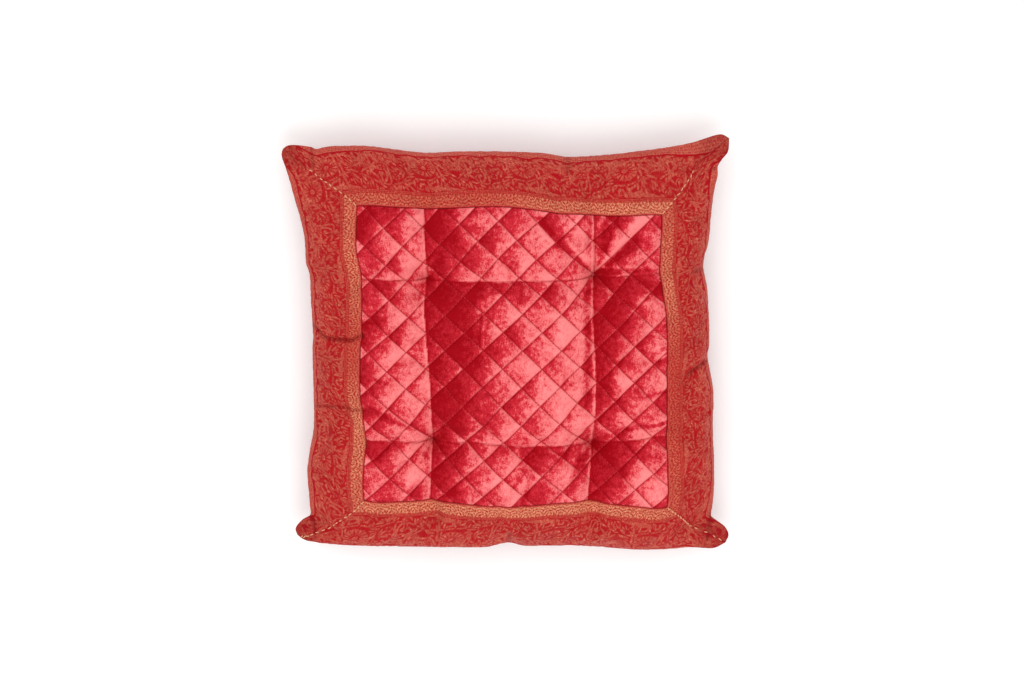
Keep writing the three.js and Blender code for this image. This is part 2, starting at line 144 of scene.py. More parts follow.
# Lesser folds of the velvet: pleats that run out from the tufts, one short upright fold, and
# wrinkles that the panel's seam draws up. Two ends, the depth at each and the flanks' width.
WRINKLES = [
    ((79.5, 65), (128, 118), 9, 2, 8), ((79.5, 65), (98, 120), 8, 1, 7),
    ((-71, 63), (-86, 124), 8, 2, 7), ((-66.5, -86), (-118, -64), 8, 1, 7),
    ((79, -87), (122, -128), 8, 1, 8),
    ((38, 112), (76, 69), 1.5, 7, 6), ((79, -87), (48, -128), 5, 1, 6),
    ((-22, 36), (-23, 2), 2.4, 0.8, 3), ((-66.5, -86), (-98, -66), 3, 1, 5),
    ((144, 59), (112, 61), 2.4, 0.6, 3.5), ((144, 50), (108, 57), 2.2, 0.6, 3.5),
    ((145, 4), (122, 2), 2.2, 0.6, 3), ((145, -6), (119, -9), 2.4, 0.6, 3.5),
    ((146, -37), (118, -43), 2.4, 0.6, 3.5), ((146, -64), (112, -68), 2.6, 0.6, 3.5),
    ((146, -71), (104, -77), 2.4, 0.8, 3), ((145, 24), (126, 20), 1.6, 0.4, 3),
    ((-131, 46), (-110, 36), 2.0, 0.5, 3.5), ((-131, 26), (-108, 28), 2.2, 0.5, 3.5),
    ((-131, 8), (-104, 0), 2.2, 0.5, 3.5), ((-130, -24), (-106, -28), 2.0, 0.5, 3.5),
    ((-128, -54), (-98, -64), 2.4, 0.6, 4), ((-60, 122), (-64, 92), 1.6, 0.5, 3),
    ((14, -140), (24, -112), 2.0, 0.5, 4), ((52, -142), (58, -110), 2.2, 0.6, 4),
    ((-30, -139), (-34, -118), 1.6, 0.4, 3.5), ((120, 112), (104, 82), 2.4, 0.8, 5),
]
# Where the pile has been crushed: patches that are partly its real lean and partly painted light and
# painted shade; the cell's row and column, a patch's middle, its half width and half height, and how
# far its pile leans towards the light, or away from it.
CRUSHED = [
    (0, 0, -128, 118, 14, 20, -0.30), (0, 0, -86, 92, 12, 32, 0.14),
    (0, 0, -100, 126, 14, 8, -0.25), (0, 0, -118, 90, 10, 16, -0.14),
    (0, 0, -100, 76, 20, 5, -0.12),
    (0, 1, -58, 98, 19, 40, -0.34), (0, 1, 14, 104, 28, 30, 0.16), (0, 1, -25, 84, 12, 10, -0.10),
    (0, 1, 57, 76, 17, 8, -0.10), (0, 1, 40, 116, 8, 10, -0.20), (0, 1, 66, 110, 13, 14, 0.16),
    (0, 2, 84, 118, 3, 10, 0.16), (0, 2, 128, 108, 16, 16, 0.12),
    (1, 0, -86, 18, 13, 44, 0.17), (1, 0, -122, 24, 14, 16, -0.22), (1, 0, -124, -22, 12, 20, -0.15),
    (1, 0, -92, -54, 20, 14, 0.12), (1, 0, -108, 52, 20, 8, -0.10),
    (1, 1, -56, -4, 26, 90, -0.42), (1, 1, -24, 56, 44, 12, -0.26), (1, 1, -40, -66, 28, 10, -0.22),
    (1, 1, 44, -8, 40, 66, 0.18), (1, 1, 74, 0, 4, 70, -0.36), (1, 1, -22, 14, 12, 30, -0.12),
    (1, 2, 92, 40, 24, 30, -0.40), (1, 2, 90, -8, 12, 44, -0.24), (1, 2, 120, -34, 26, 36, 0.18),
    (1, 2, 128, 55, 20, 6, -0.22), (1, 2, 134, 8, 10, 20, 0.12),
    (2, 0, -120, -92, 14, 12, -0.22), (2, 0, -88, -106, 16, 28, 0.16),
    (2, 0, -82, -130, 10, 8, -0.14),
    (2, 1, -56, -104, 18, 34, -0.28), (2, 1, -20, -98, 16, 12, 0.04), (2, 1, 10, -118, 26, 18, 0.26),
    (2, 1, 50, -104, 12, 18, 0.14), (2, 1, 70, -98, 6, 20, -0.26),
    (2, 2, 92, -98, 26, 19, -0.46), (2, 2, 84, -124, 11, 20, -0.26), (2, 2, 128, -122, 22, 22, 0.20),
    (2, 2, 128, -90, 16, 8, 0.10), (2, 2, 138, -138, 7, 7, 0.30),
]
# Streaks of it, many of them painted light and painted shade along the pleats and wrinkles: the
# cell, two ends, half width at each, amount.
STREAKS = [
    (0, 2, (83, 76), (97, 126), 2.5, 6, -0.40), (0, 2, (86, 74), (130, 124), 2.0, 8, 0.34),
    (0, 2, (92, 79), (116, 98), 3, 5.5, -0.46), (0, 2, (84, 74), (112, 76.5), 1.2, 1.8, 0.30),
    (0, 2, (90, 70.5), (136, 72), 2.4, 4.5, -0.34), (0, 2, (112, 84), (142, 96), 4, 9, 0.14),
    (0, 1, (31, 119), (46, 98), 3.5, 2.5, -0.40), (0, 1, (46, 98), (75, 69), 3, 7, -0.34),
    (0, 1, (54, 101), (77, 76), 2.0, 1.5, 0.25), (0, 1, (30, 112), (44, 99), 2.0, 2.0, 0.25),
    (0, 1, (76, 118), (77, 80), 3, 4, -0.22),
    (1, 0, (-131, 46), (-112, 40), 3.5, 2, -0.24), (1, 0, (-131, 26), (-108, 29), 3.5, 2, -0.26),
    (1, 0, (-131, 8), (-106, 2), 3.5, 2, -0.24), (1, 0, (-131, -24), (-108, -28), 3.5, 2, -0.24),
    (1, 0, (-124, -52), (-70, -80), 2.0, 4, -0.34), (1, 0, (-71, 20), (-73, -20), 4, 3, -0.12),
    (1, 2, (144, 59), (112, 61), 2.5, 1.5, -0.30), (1, 2, (144, 50), (112, 56), 2.2, 1.5, -0.28),
    (1, 2, (146, -37), (120, -42), 2.5, 1.5, -0.24), (1, 2, (146, -66), (108, -72), 2.5, 1.8, -0.28),
    (1, 1, (-22, 34), (-23, 4), 1.4, 1.0, -0.3), (1, 1, (-20, 34), (-21, 4), 1.0, 1.0, 0.3),
    (2, 0, (-92, -132), (-74, -92), 2.5, 3, 0.20), (2, 1, (4, -131), (18, -112), 2.5, 2.5, -0.24),
    (2, 1, (60, -126), (66, -100), 3, 4, -0.22), (2, 1, (48, -100), (58, -94), 5, 3, -0.30),
]
FOLD_BLEND = 3          # how sharply one fold gives way to a deeper one
NARROW_FOLD = 10        # millimetres; folds with narrower flanks wander
# The quilting: a diamond's width and height, and one crossing, on the flat cloth.
DIAMOND_WIDE, DIAMOND_HIGH = 35.1, 34.1
CROSSING = (-116.7, 128.1)
# The quilting was sewn a little crooked: how far it lies from a true grid, in millimetres. Each
# row is a height on the cloth, and then place along it, shift to the right, and shift up.
CROOKED = [
    (-120, [(-115, 1.5, -5.5), (-40, -0.5, -2.5), (40, 0.5, 0), (115, -3, 6)]),
    (-75, [(-115, 1.5, -5.5), (-40, -0.5, -2.5), (40, -1.5, -1), (115, -3, 6)]),
    (0, [(-115, 1.5, -5.5), (-40, 1, -0.5), (40, 1.5, 1), (115, -2, 8.5)]),
    (95, [(-115, 2.5, -8.5), (-40, 1.5, -3), (40, 1.5, 1), (115, -0.5, 7)]),
]
PUFF_POWER = 2.4        # higher makes a diamond flatter on top
DIAMOND_CELLS = 24      # mesh cells across one diamond
RIBBON_ROWS = 69        # mesh points across one ribbon
TRIAL_POINTS = 91       # points along a side of the trial cover that the filling is tried in
TRIAL_FRAMES = 20       # how long the filling presses
MOST_GIVE = 6           # millimetres that the filling may push a point of the cover
# The camera of the photo: degrees from straight above, towards the top edge, how far off it is
# and how wide a view it takes in, in metres, and the point that it looks at.
VIEW_TILT, VIEW_FAR, VIEW_WIDE = 10, 3.0, 0.932
VIEW_MIDDLE = (0.00573, 0.0025, 0.044)


class CushionSizes(bpy.types.PropertyGroup):
    cover: FloatProperty(
        name="Cover", description="Side of the square cover, seam to seam, laid flat",
        default=0.406, min=0.3, max=0.6, unit="LENGTH")
    panel: FloatProperty(
        name="Panel", description="Side of the velvet panel, as sewn in",
        default=0.278, min=0.2, max=0.4, unit="LENGTH")
    seam_height: FloatProperty(
        name="Seam height", description="Side seam above the floor",
        default=0.037, min=0.01, max=0.08, unit="LENGTH")
    face_crown: FloatProperty(
        name="Face crown", description="Crown of the face above the side seam",
        default=0.046, min=0.01, max=0.08, unit="LENGTH")
    back_crown: FloatProperty(
        name="Back crown", description="Crown of the back before the floor presses it flat",
        default=0.045, min=0.01, max=0.08, unit="LENGTH")
    puff: FloatProperty(
        name="Puff", description="Wadding between the quilting lines",
        default=0.003, min=0, max=0.008, unit="LENGTH")
    velvet: FloatProperty(
        name="Velvet", description="Thickness of the velvet and its lining",
        default=0.0018, min=0.0005, max=0.004, unit="LENGTH")
    ribbon: FloatProperty(
        name="Ribbon", description="Thickness of the brocade ribbon",
        default=0.0012, min=0.0005, max=0.004, unit="LENGTH")
    ribbon_cells: IntProperty(
        name="Ribbon cells", description="Mesh cells along one ribbon", default=520, min=60,
        max=600)


class CushionColours(bpy.types.PropertyGroup):
    # The velvet's three tones: the crushed pile really turns lighter and darker, and much of the
    # spread between them is painted sheen and painted shade.
    velvet_dark: FloatVectorProperty(
        name="Velvet, pile away", description="Velvet where its pile drinks the light",
        subtype="COLOR", default=(0.345, 0.0, 0.005))
    velvet_mid: FloatVectorProperty(
        name="Velvet", description="Velvet between its light and dark",
        subtype="COLOR", default=(0.63, 0.023, 0.04))
    velvet_light: FloatVectorProperty(
        name="Velvet, pile towards", description="Velvet where its pile shines",
        subtype="COLOR", default=(0.98, 0.245, 0.245))
    brocade_ground: FloatVectorProperty(
        name="Brocade ground", description="Silk between the figures",
        subtype="COLOR", default=(0.43, 0.0, 0.006))
    outer_silk: FloatVectorProperty(
        name="Outer silk", description="Silk of the band along the side seam",
        subtype="COLOR", default=(0.47, 0.025, 0.03))
    brocade_gold: FloatVectorProperty(
        name="Brocade gold", description="Dull gold thread of the figures",
        subtype="COLOR", default=(0.55, 0.088, 0.057))
    band_gold: FloatVectorProperty(
        name="Band gold", description="Brighter gold thread of the edge bands",
        subtype="COLOR", default=(0.84, 0.31, 0.17))
    back_cloth: FloatVectorProperty(
        name="Back cloth", description="Plain cotton of the back",
        subtype="COLOR", default=(0.40, 0.012, 0.022))
    gold_thread: FloatVectorProperty(
        name="Gold thread", description="Thread along the mitres",
        subtype="COLOR", default=(0.80, 0.40, 0.22))


def smooth(low, high, value):
    """Eases from 0 at low to 1 at high."""
    q = np.clip((value - low) / (high - low), 0, 1)
    return q * q * (3 - 2 * q)


def along(table, at, column=1):
    """A smooth curve through one column of a table whose first column says where each row is."""
    rows = np.array(table, float)
    where, value = rows[:, 0], rows[:, column]
    before, after = np.r_[0, 0:len(rows) - 1], np.r_[1:len(rows), len(rows) - 1]
    slope = (value[after] - value[before]) / (where[after] - where[before])
    k = np.clip(np.searchsorted(where, at) - 1, 0, len(rows) - 2)
    span = where[k + 1] - where[k]
    q = (at - where[k]) / span
    bend = span * q * (1 - q) * ((1 - q) * slope[k] - q * slope[k + 1])
    return value[k] + (value[k + 1] - value[k]) * q * q * (3 - 2 * q) + bend


def within(table, at, column=1):
    """The same curve, level beyond the table's first and last row."""
    return along(table, np.clip(at, table[0][0], table[-1][0]), column)


def turn(q):
    """Carries places across the cover towards its rim, where it turns down into the seam."""
    return q * (1 + (1 - np.abs(q) ** SHOULDER) / SHOULDER)


def crown(q):
    """How high the cover stands, from 1 in the middle to 0 at the seam."""
    return np.sqrt(np.maximum(0, 1 - np.abs(turn(q)) ** CROWN_POWER))


def near_line(u, v, points):
    """How far places are from a line through points, and how far along it, from 0 to 1."""
    best, where = np.full(u.shape, 1e9), np.zeros(u.shape)
    for k, ((u0, v0), (u1, v1)) in enumerate(zip(points, points[1:])):
        du, dv = u1 - u0, v1 - v0
        q = np.clip(((u - u0) * du + (v - v0) * dv) / (du * du + dv * dv), 0, 1)
        far = np.hypot(u - u0 - q * du, v - v0 - q * dv)
        where = np.where(far < best, (k + q) / (len(points) - 1), where)
        best = np.minimum(best, far)
    return best, where


def stretches():
    """The tight creases, stretch by stretch: two ends, the depth at each and the flanks' width."""
    rows = []
    for lines, (outer, inner), turned in ((UPRIGHT, UPRIGHT_FLANKS, -1), (LEVEL, LEVEL_FLANKS, 1)):
        for line in lines:
            for k, (first, last) in enumerate(zip(line, line[1:])):
                wide = outer if k in (0, len(line) - 2) else inner
                rows.append((first[:2][::turned], last[:2][::turned], first[2], last[2], wide))
    return rows


CREASES = stretches()


def crooked(u, v):
    """How far the quilting lies from a true grid, at places of that grid."""
    total = 0
    for k, (height, row) in enumerate(CROOKED):
        here = np.stack([within(row, u, axis) for axis in (1, 2)], -1)
        total = here if k == 0 else total + (here - before) * smooth(low, height, v)[..., None]
        before, low = here, height
    return total


def noise(x, y, cell, seed):
    """Smooth noise from -1 to 1 over the plane, with bumps as wide as a cell."""
    grid = np.random.default_rng(seed).uniform(-1, 1, (64, 64))
    x, y = np.asarray(x) / cell, np.asarray(y) / cell
    i, j = np.floor(x).astype(int), np.floor(y).astype(int)
    a, b = smooth(0, 1, x - i), smooth(0, 1, y - j)

    def at(di, dj):
        return grid[(i + di) % 64, (j + dj) % 64]

    low = at(0, 0) * (1 - a) + at(1, 0) * a
    high = at(0, 1) * (1 - a) + at(1, 1) * a
    return low * (1 - b) + high * b


class Cover:
    """The cushion's cover. A point of it is (s, t), each from -1 to 1, seam to seam. Lengths
    are in millimetres."""

    def __init__(self, sizes):
        self.half = sizes.cover / MM / 2
        self.edge = sizes.panel / sizes.cover
        self.seam_height = sizes.seam_height / MM
        self.face_crown = sizes.face_crown / MM
        self.back_crown = sizes.back_crown / MM
        self.puff = sizes.puff / MM
        self.give = None

    def spread(self, s, t):
        """Where points of the face would lie on the plan with no ears or puckers."""
        right, left = along(DRAWN_IN["right"], t), along(DRAWN_IN["left"], t)
        top, bottom = along(DRAWN_IN["top"], s), along(DRAWN_IN["bottom"], s)
        across = turn(s) + (s - turn(s)) * smooth(0.6, 1, abs(t))
        up = turn(t) + (t - turn(t)) * smooth(0.6, 1, abs(s))
        return np.stack([(right - left) / 2 + across * (right + left) / 2,
                         (top - bottom) / 2 + up * (top + bottom) / 2], -1)

    def plan(self, s, t):
        """Where points of the cover lie on the plan."""
        end_s, end_t = np.where(s < 0, -1.0, 1.0), np.where(t < 0, -1.0, 1.0)

        def seam(first, second, pick, at):
            rows = [np.stack([along(SEAM[side], at, 1), along(SEAM[side], at, 2)], -1)
                    for side in (first, second)]
            return np.where((pick < 0)[..., None], *rows)

        by_side = seam("left", "right", s, t) - self.spread(end_s, t)
        by_end = seam("bottom", "top", t, s) - self.spread(s, end_t)
        by_ear = seam("left", "right", s, end_t) - self.spread(end_s, end_t)
        a = smooth(SEAM_PULL, 1, abs(s))[..., None]
        b = smooth(SEAM_PULL, 1, abs(t))[..., None]
        return self.spread(s, t) + a * by_side + b * by_end - a * b * by_ear

    def height(self, s, t):
        """How high the side seam lies, which droops at the ears."""
        return self.seam_height - EAR_DROOP * np.abs(s * t) ** 5

    def form(self, s, t):
        """The face with no folds in it."""
        z = self.height(s, t) + self.face_crown * crown(s) * crown(t)
        return np.concatenate([self.plan(s, t), z[..., None]], -1)

    def outwards(self, s, t):
        """The way out of the cushion at points of the face."""
        step = 0.004
        low_s, high_s = np.clip(s - step, -1, 1), np.clip(s + step, -1, 1)
        low_t, high_t = np.clip(t - step, -1, 1), np.clip(t + step, -1, 1)
        way = np.cross(self.form(high_s, t) - self.form(low_s, t),
                       self.form(s, high_t) - self.form(s, low_t))
        return way / np.linalg.norm(way, axis=-1, keepdims=True)

    def sunk(self, x, y):
        """How deep the tufts, creases and folds pull the face down."""
        wander = 1.6 * noise(x, y, 17, 3)
        total = 0
        for tx, ty in TUFTS:
            far = np.hypot(x - tx, y - ty)
            total = total + (TUFT_DEEP * np.exp(-far / TUFT_WIDE)) ** FOLD_BLEND
        for (x0, y0), (x1, y1), deep0, deep1, wide in CREASES + WRINKLES:
            dx, dy = x1 - x0, y1 - y0
            q = np.clip(((x - x0) * dx + (y - y0) * dy) / (dx * dx + dy * dy), 0, 1)
            bow = wander * np.sin(math.pi * q) * (wide < NARROW_FOLD)
            far = np.hypot(x - x0 - q * dx + bow, y - y0 - q * dy + bow)
            total = total + ((deep0 + (deep1 - deep0) * q) * np.exp(-far / wide)) ** FOLD_BLEND
        return total ** (1 / FOLD_BLEND)

    def puckered(self, s, t):
        """How deep the folds from the puckered seam are."""
        total = 0
        for side, place, run, deep, half in PUCKERS:
            out, at = {"right": (s, t), "left": (-s, t), "top": (t, s), "bottom": (-t, s)}[side]
            inwards = np.clip((1 - out) * self.half / run, 0, 1)
            total = total + deep * (1 - inwards ** 2) * np.exp(-abs(at - place) * self.half / half)
        return total

    def clefts(self, s, t):
        """How deep the creased folds are, and how much painted shade points get from lying near one,
        from 0 to 1.
        """
        x, y = np.moveaxis(self.plan(s, t), -1, 0)
        deep = near = np.zeros(x.shape)
        for line, depth, half in CLEFTS:
            here = np.exp(-(near_line(x, y, line)[0] / half) ** 2)
            # Deeper folds get more painted shade.
            deep, near = deep + depth * here, np.maximum(near, here * (0.15 + depth / 5.5))
        return deep, near

    def slid(self, s, t):
        """Where points of the ribbons end up: the mitre at one ear is drawn down to its edge."""
        drawn = within(SLID_MITRE, -s)
        past = t - s
        share = np.where(past < 0, (1 + t) / np.maximum(1 + s, 1e-6), 1 - smooth(0, 0.25, past))
        return t - drawn * np.clip(share, 0, 1)

    def gathers(self, s, t, cell, slim, start, end, seed):
        """Small gathers that the side seam draws up: long bumps that run in from it."""
        u, v = s * self.half, t * self.half
        level = noise(u, v * slim, cell, seed) * smooth(start, end, abs(t)) * (abs(t) > abs(s))
        upright = noise(u * slim, v, cell, seed + 1) * smooth(start, end, abs(s))
        return level + upright * (abs(s) >= abs(t))

    def face(self, s, t):
        """The filled cushion's face, with its creases and folds."""
        point = self.form(s, t)
        far = np.maximum(abs(s), abs(t))
        # The tufts and creases fade out under the ribbons.
        inner = 1 - smooth(self.edge, 0.86, far)
        point[..., 2] -= self.sunk(point[..., 0], point[..., 1]) * inner
        gather = 0.7 * self.gathers(s, t, 7, 0.22, 0.8, 1, 11)
        gather = gather + 0.5 * noise(s * self.half, t * self.half, 26, 13)
        inward = (self.puckered(s, t) + gather) * crown(s) * crown(t)
        inward = inward + self.clefts(s, t)[0] * np.minimum(1, 2.5 * crown(s) * crown(t))
        point = point - self.outwards(s, t) * inward[..., None]
        return point if self.give is None else point + self.given(self.give, s, t)

    def back(self, s, t):
        """The back, pressed flat by the floor and dimpled where the tufts come through."""
        plan = self.plan(s, t)
        x, y = plan[..., 0], plan[..., 1]
        gather = 1.2 * self.gathers(s, t, 9, 0.3, 0.7, 0.95, 21)
        arch = crown(s) * crown(t)
        z = np.maximum(0, self.height(s, t) - (self.back_crown + gather) * arch)
        for tx, ty in TUFTS:
            # Seven small folds run out from each dimple.
            far = np.hypot(x - tx, y - ty) / BACK_TUFT_REACH
            ray = 1 + 0.25 * np.cos(7 * np.arctan2(y - ty, x - tx))
            z = z + BACK_TUFT_DEEP * np.maximum(0, 1 - far * ray) ** 2
        point = np.concatenate([plan, z[..., None]], -1)
        if self.give is not None:
            point = point + self.given(self.back_give, s, t)
            point[..., 2] = np.maximum(0, point[..., 2])
        return point

    def given(self, grid, s, t):
        """How far the filling has pushed points of the cover, from a grid of trial points."""
        count = len(grid)
        x, y = (s + 1) / 2 * (count - 1), (t + 1) / 2 * (count - 1)
        i, j = (np.clip(np.floor(q).astype(int), 0, count - 2) for q in (x, y))

        def weights(q):
            return [(1 - q) ** 3 / 6, (3 * q ** 3 - 6 * q ** 2 + 4) / 6,
                    (-3 * q ** 3 + 3 * q ** 2 + 3 * q + 1) / 6, q ** 3 / 6]

        total = 0
        for dj, wj in enumerate(weights(y - j)):
            for di, wi in enumerate(weights(x - i)):
                at = grid[np.clip(j + dj - 1, 0, count - 1), np.clip(i + di - 1, 0, count - 1)]
                total = total + (wj * wi)[..., None] * at
        # The seam and the thin ears stay as they are.
        return total * np.minimum(1, 4 * crown(s) * crown(t))[..., None]

    def fill(self, context):
        """Presses the filling out against a trial cover of cloth, held at its seam, tufts and
        creases, and keeps how far each point gives."""
        lines = np.linspace(-1, 1, TRIAL_POINTS)
        s, t = np.meshgrid(lines, lines)
        front, back = self.face(s, t), self.back(s, t)
        points, faces, behind = closed_cushion(front, back)
        x, y = points[:, 0], points[:, 1]
        # The rim, the back where it lies on the floor, the tufts and the creases are held.
        held = np.zeros(len(points), bool)
        held[grid_rim(TRIAL_POINTS, TRIAL_POINTS)] = True
        held[behind.ravel()] |= back[..., 2].ravel() < 0.4
        for tx, ty in TUFTS:
            held |= np.hypot(x - tx, y - ty) < 5
        face_points = s.size
        for first, last, *_ in CREASES:
            far, _ = near_line(x[:face_points], y[:face_points], [first, last])
            held[:face_points] |= far < 2.6
        trial = made_mesh("trial_cover", points, faces)
        sewn = trial.vertex_groups.new(name="sewn")
        sewn.add(np.flatnonzero(held).tolist(), 1.0, "REPLACE")
        cloth = trial.modifiers.new("Cloth", "CLOTH").settings
        cloth.quality = 6
        cloth.mass = 0.12
        cloth.tension_stiffness = cloth.compression_stiffness = 12
        cloth.shear_stiffness = 4
        cloth.bending_stiffness = 0.15
        cloth.vertex_group_mass = "sewn"
        cloth.shrink_min = -0.035
        cloth.use_pressure = True
        cloth.uniform_pressure_force = 4
        cloth.effector_weights.gravity = 0
        for frame_number in range(1, TRIAL_FRAMES + 1):
            context.scene.frame_set(frame_number)
        result = trial.evaluated_get(context.evaluated_depsgraph_get()).data
        ended = np.empty(3 * len(points))
        result.vertices.foreach_get("co", ended)
        moved = ended.reshape(-1, 3) / MM - points
        context.scene.frame_set(1)
        mesh = trial.data
        bpy.data.objects.remove(trial, do_unlink=True)
        bpy.data.meshes.remove(mesh)
        far = np.linalg.norm(moved, axis=-1, keepdims=True)
        moved *= np.minimum(1, MOST_GIVE / np.maximum(far, 1e-6))
        self.give = self.folds_only(moved[:face_points])
        self.back_give = self.folds_only(moved[behind.ravel()])

    def folds_only(self, moved):
        """Takes most of the broad swelling out of the trial, which the form has already."""
        grid = moved.reshape(TRIAL_POINTS, TRIAL_POINTS, 3)
        broad, reach = grid, 5
        for axis in (0, 1):
            pad = [(reach, reach) if k == axis else (0, 0) for k in range(3)]
            ends = np.pad(broad, pad, mode="edge")
            broad = sum(np.roll(ends, k, axis) for k in range(-reach, reach + 1)) / (2 * reach + 1)
            broad = np.take(broad, range(reach, reach + TRIAL_POINTS), axis)
        return 1.15 * (grid - 0.85 * broad)

    def pattern(self, s, t):
        """Where points of the cover lie on the quilting's true grid, in millimetres."""
        flat = np.stack([s, t], -1) * self.half
        place = flat
        for _ in range(4):
            place = flat - crooked(place[..., 0], place[..., 1])
        return place

    def diamonds(self, s, t):
        """Counts the quilting lines, those that fall to the right and those that rise."""
        place = self.pattern(s, t)
        across = (place[..., 0] - CROSSING[0]) / DIAMOND_WIDE
        up = (place[..., 1] - CROSSING[1]) / DIAMOND_HIGH
        return across + up, across - up

    def quilted(self, s, t):
        """How far the velvet stands up off the face between its quilting lines."""
        a, b = self.diamonds(s, t)
        domes = [1 - np.abs(2 * (q - np.floor(q)) - 1) ** PUFF_POWER for q in (a, b)]
        uneven = np.random.default_rng(5).uniform(0.75, 1.25, (64, 64))
        full = uneven[np.floor(a).astype(int) % 64, np.floor(b).astype(int) % 64]
        inner = 1 - smooth(self.edge - 0.03, self.edge - 0.002, np.maximum(abs(s), abs(t)))
        return self.puff * full * domes[0] * domes[1] * inner

    def velvet_face(self, s, t, lift):
        """The panel's upper side, this far above the face. Its edge tucks down to the ribbon."""
        point = self.face(s, t)
        far = np.maximum(abs(s), abs(t))
        tuck = 0.8 * smooth(self.edge - 0.02, self.edge, far)
        point[..., 2] += lift - tuck + self.quilted(s, t)
        return point

    def pile_and_painted_light(self, s, t):
        """How light the velvet is painted, from 0 to 1, partly from its pile's lean and partly
        painted light and shade on the slopes of its folds, and how much painted shade a crease's
        fold gives it."""
        u, v = s * self.half, t * self.half
        point = self.form(s, t)
        x, y = point[..., 0], point[..., 1]
        # Painted light and shade: the slopes of the creases are painted lighter where they face the
        # light, on the right and below, and darker where they face away.
        depth, step = self.sunk(x, y), 0.6
        slope = 0.8 * (self.sunk(x + step, y) - depth) - 0.6 * (self.sunk(x, y + step) - depth)
        lean_and_painted_light = 0.5 + 0.26 * np.tanh(2.6 * slope / step)
        # The folds that the filling pushes up are painted lighter or darker by their slopes in the
        # same way.
        if self.give is not None:
            apart = 0.012
            rise = self.given(self.give, s, t)[..., 2]
            right = self.given(self.give, s + apart, t)[..., 2] - rise
            up = self.given(self.give, s, t + apart)[..., 2] - rise
            lean_and_painted_light = lean_and_painted_light + 0.16 * np.tanh(3 * (0.6 * up - 0.8 * right) / (apart * self.half))
        offs = [x - within(line, y) for line in UPRIGHT]
        drops = [within(line, x) - y for line in LEVEL]
        column = (offs[0] > 0).astype(int) + (offs[1] > 0)
        row = (drops[0] > 0).astype(int) + (drops[1] > 0)
        for at_row, at_column, px, py, wide, high, amount in CRUSHED:
            far = ((x - px) / wide) ** 2 + ((y - py) / high) ** 2
            mine = (row == at_row) & (column == at_column)
            lean_and_painted_light = lean_and_painted_light + 1.15 * amount * np.exp(-far ** 1.4) * mine
        for at_row, at_column, first, last, wide0, wide1, amount in STREAKS:
            far, q = near_line(x, y, [first, last])
            mine = (row == at_row) & (column == at_column)
            lean_and_painted_light = lean_and_painted_light + amount * np.exp(-(far / (wide0 + (wide1 - wide0) * q)) ** 2) * mine
        # Painted shade and light: each crease is painted darkest in its fold, and light on the side
        # that faces the lamp.
        painted_fold_shade = 0
        for aways, light, dark_at in ((offs, 0.34, 0.6), (drops, 0.10, 0.4)):
            for away in aways:
                lean_and_painted_light = lean_and_painted_light + light * np.exp(-((away + 1.3) / 1.2) ** 2)
                painted_fold_shade = np.maximum(painted_fold_shade, np.exp(-((away - dark_at) / 0.9) ** 2))
        # Handling has turned the pile a little everywhere.
        lean_and_painted_light = lean_and_painted_light + 0.12 * noise(u, v, 19, 31) + 0.11 * noise(u, v, 8, 32)
        lean_and_painted_light = lean_and_painted_light + 0.07 * noise(u + v, 0.3 * (u - v), 6, 35)
        return lean_and_painted_light, painted_fold_shade


COVERS = {}


def filled_cover(context):
    """The cover for the sizes that are set, filled out once."""
    sizes = context.scene.cushion_sizes
    key = tuple(getattr(sizes, name) for name in sizes.__annotations__)
    if key not in COVERS:
        made = Cover(sizes)
        made.fill(context)
        COVERS[key] = made
    return COVERS[key]


def made_mesh(name, points, faces, flat=None, marks=None):
    """An object from points in millimetres and faces, with a UV map in metres from each
    point's place on the flat cloth, and named numbers for each point."""
    mesh = bpy.data.meshes.new(name)
    mesh.from_pydata((np.asarray(points) * MM).tolist(), [], [list(f) for f in faces])
    corner = np.empty(len(mesh.loops), int)
    mesh.loops.foreach_get("vertex_index", corner)
    if flat is not None:
        layer = mesh.uv_layers.new(name="Cloth")
        layer.data.foreach_set("uv", (np.asarray(flat) * MM)[corner].astype(np.float32).ravel())
    for mark, values in (marks or {}).items():
        attribute = mesh.attributes.new(mark, "FLOAT", "POINT")
        attribute.data.foreach_set("value", np.asarray(values, np.float32).ravel())
    mesh.polygons.foreach_set("use_smooth", np.ones(len(mesh.polygons), bool))
    mesh.update()
    piece = bpy.data.objects.new(name, mesh)
    bpy.context.collection.objects.link(piece)
    return piece


def grid_faces(rows, columns, first=0):
    """Quads over a grid of points that are numbered row by row."""
    j, i = np.mgrid[0:rows - 1, 0:columns - 1]
    a = first + (j * columns + i).ravel()
    return np.stack([a, a + 1, a + 1 + columns, a + columns], -1)


def grid_rim(rows, columns):
    """The numbers round a grid, anticlockwise."""
    ids = np.arange(rows * columns).reshape(rows, columns)
    return np.concatenate([ids[0, :-1], ids[:-1, -1], ids[-1, :0:-1], ids[:0:-1, 0]])


def closed_cushion(front, back):
    """Joins grids of face and back points at their rim: the points, the faces, and the number of
    each back point."""
    count = len(front)
    total = count * count
    rim = grid_rim(count, count)
    keep = np.ones(total, bool)
    keep[rim] = False
    behind = np.arange(total)
    behind[keep] = total + np.arange(keep.sum())
    faces = grid_faces(count, count)
    points = np.concatenate([front.reshape(-1, 3), back.reshape(-1, 3)[keep]])
    every = np.concatenate([faces, behind[faces][:, ::-1]]).tolist()
    return points, every, behind.reshape(count, count)


def sheet_mesh(name, upper, under, quads, flat, marks=None):
    """A closed sheet from grids of upper and under points."""
    rows, columns = upper.shape[:2]
    count = rows * columns
    rim = grid_rim(rows, columns)
    after = np.roll(rim, -1)
    below = [list(reversed([n + count for n in face])) for face in quads]
    walls = np.stack([rim, rim + count, after + count, after], -1)
    points = np.concatenate([upper.reshape(-1, 3), under.reshape(-1, 3)])

    def double(values):
        return np.concatenate([values.reshape(count, -1)] * 2)

    marks = {mark: double(values) for mark, values in (marks or {}).items()}
    return made_mesh(name, points, [*map(list, quads), *below, *walls.tolist()],
                     double(flat), marks)


# Finishes


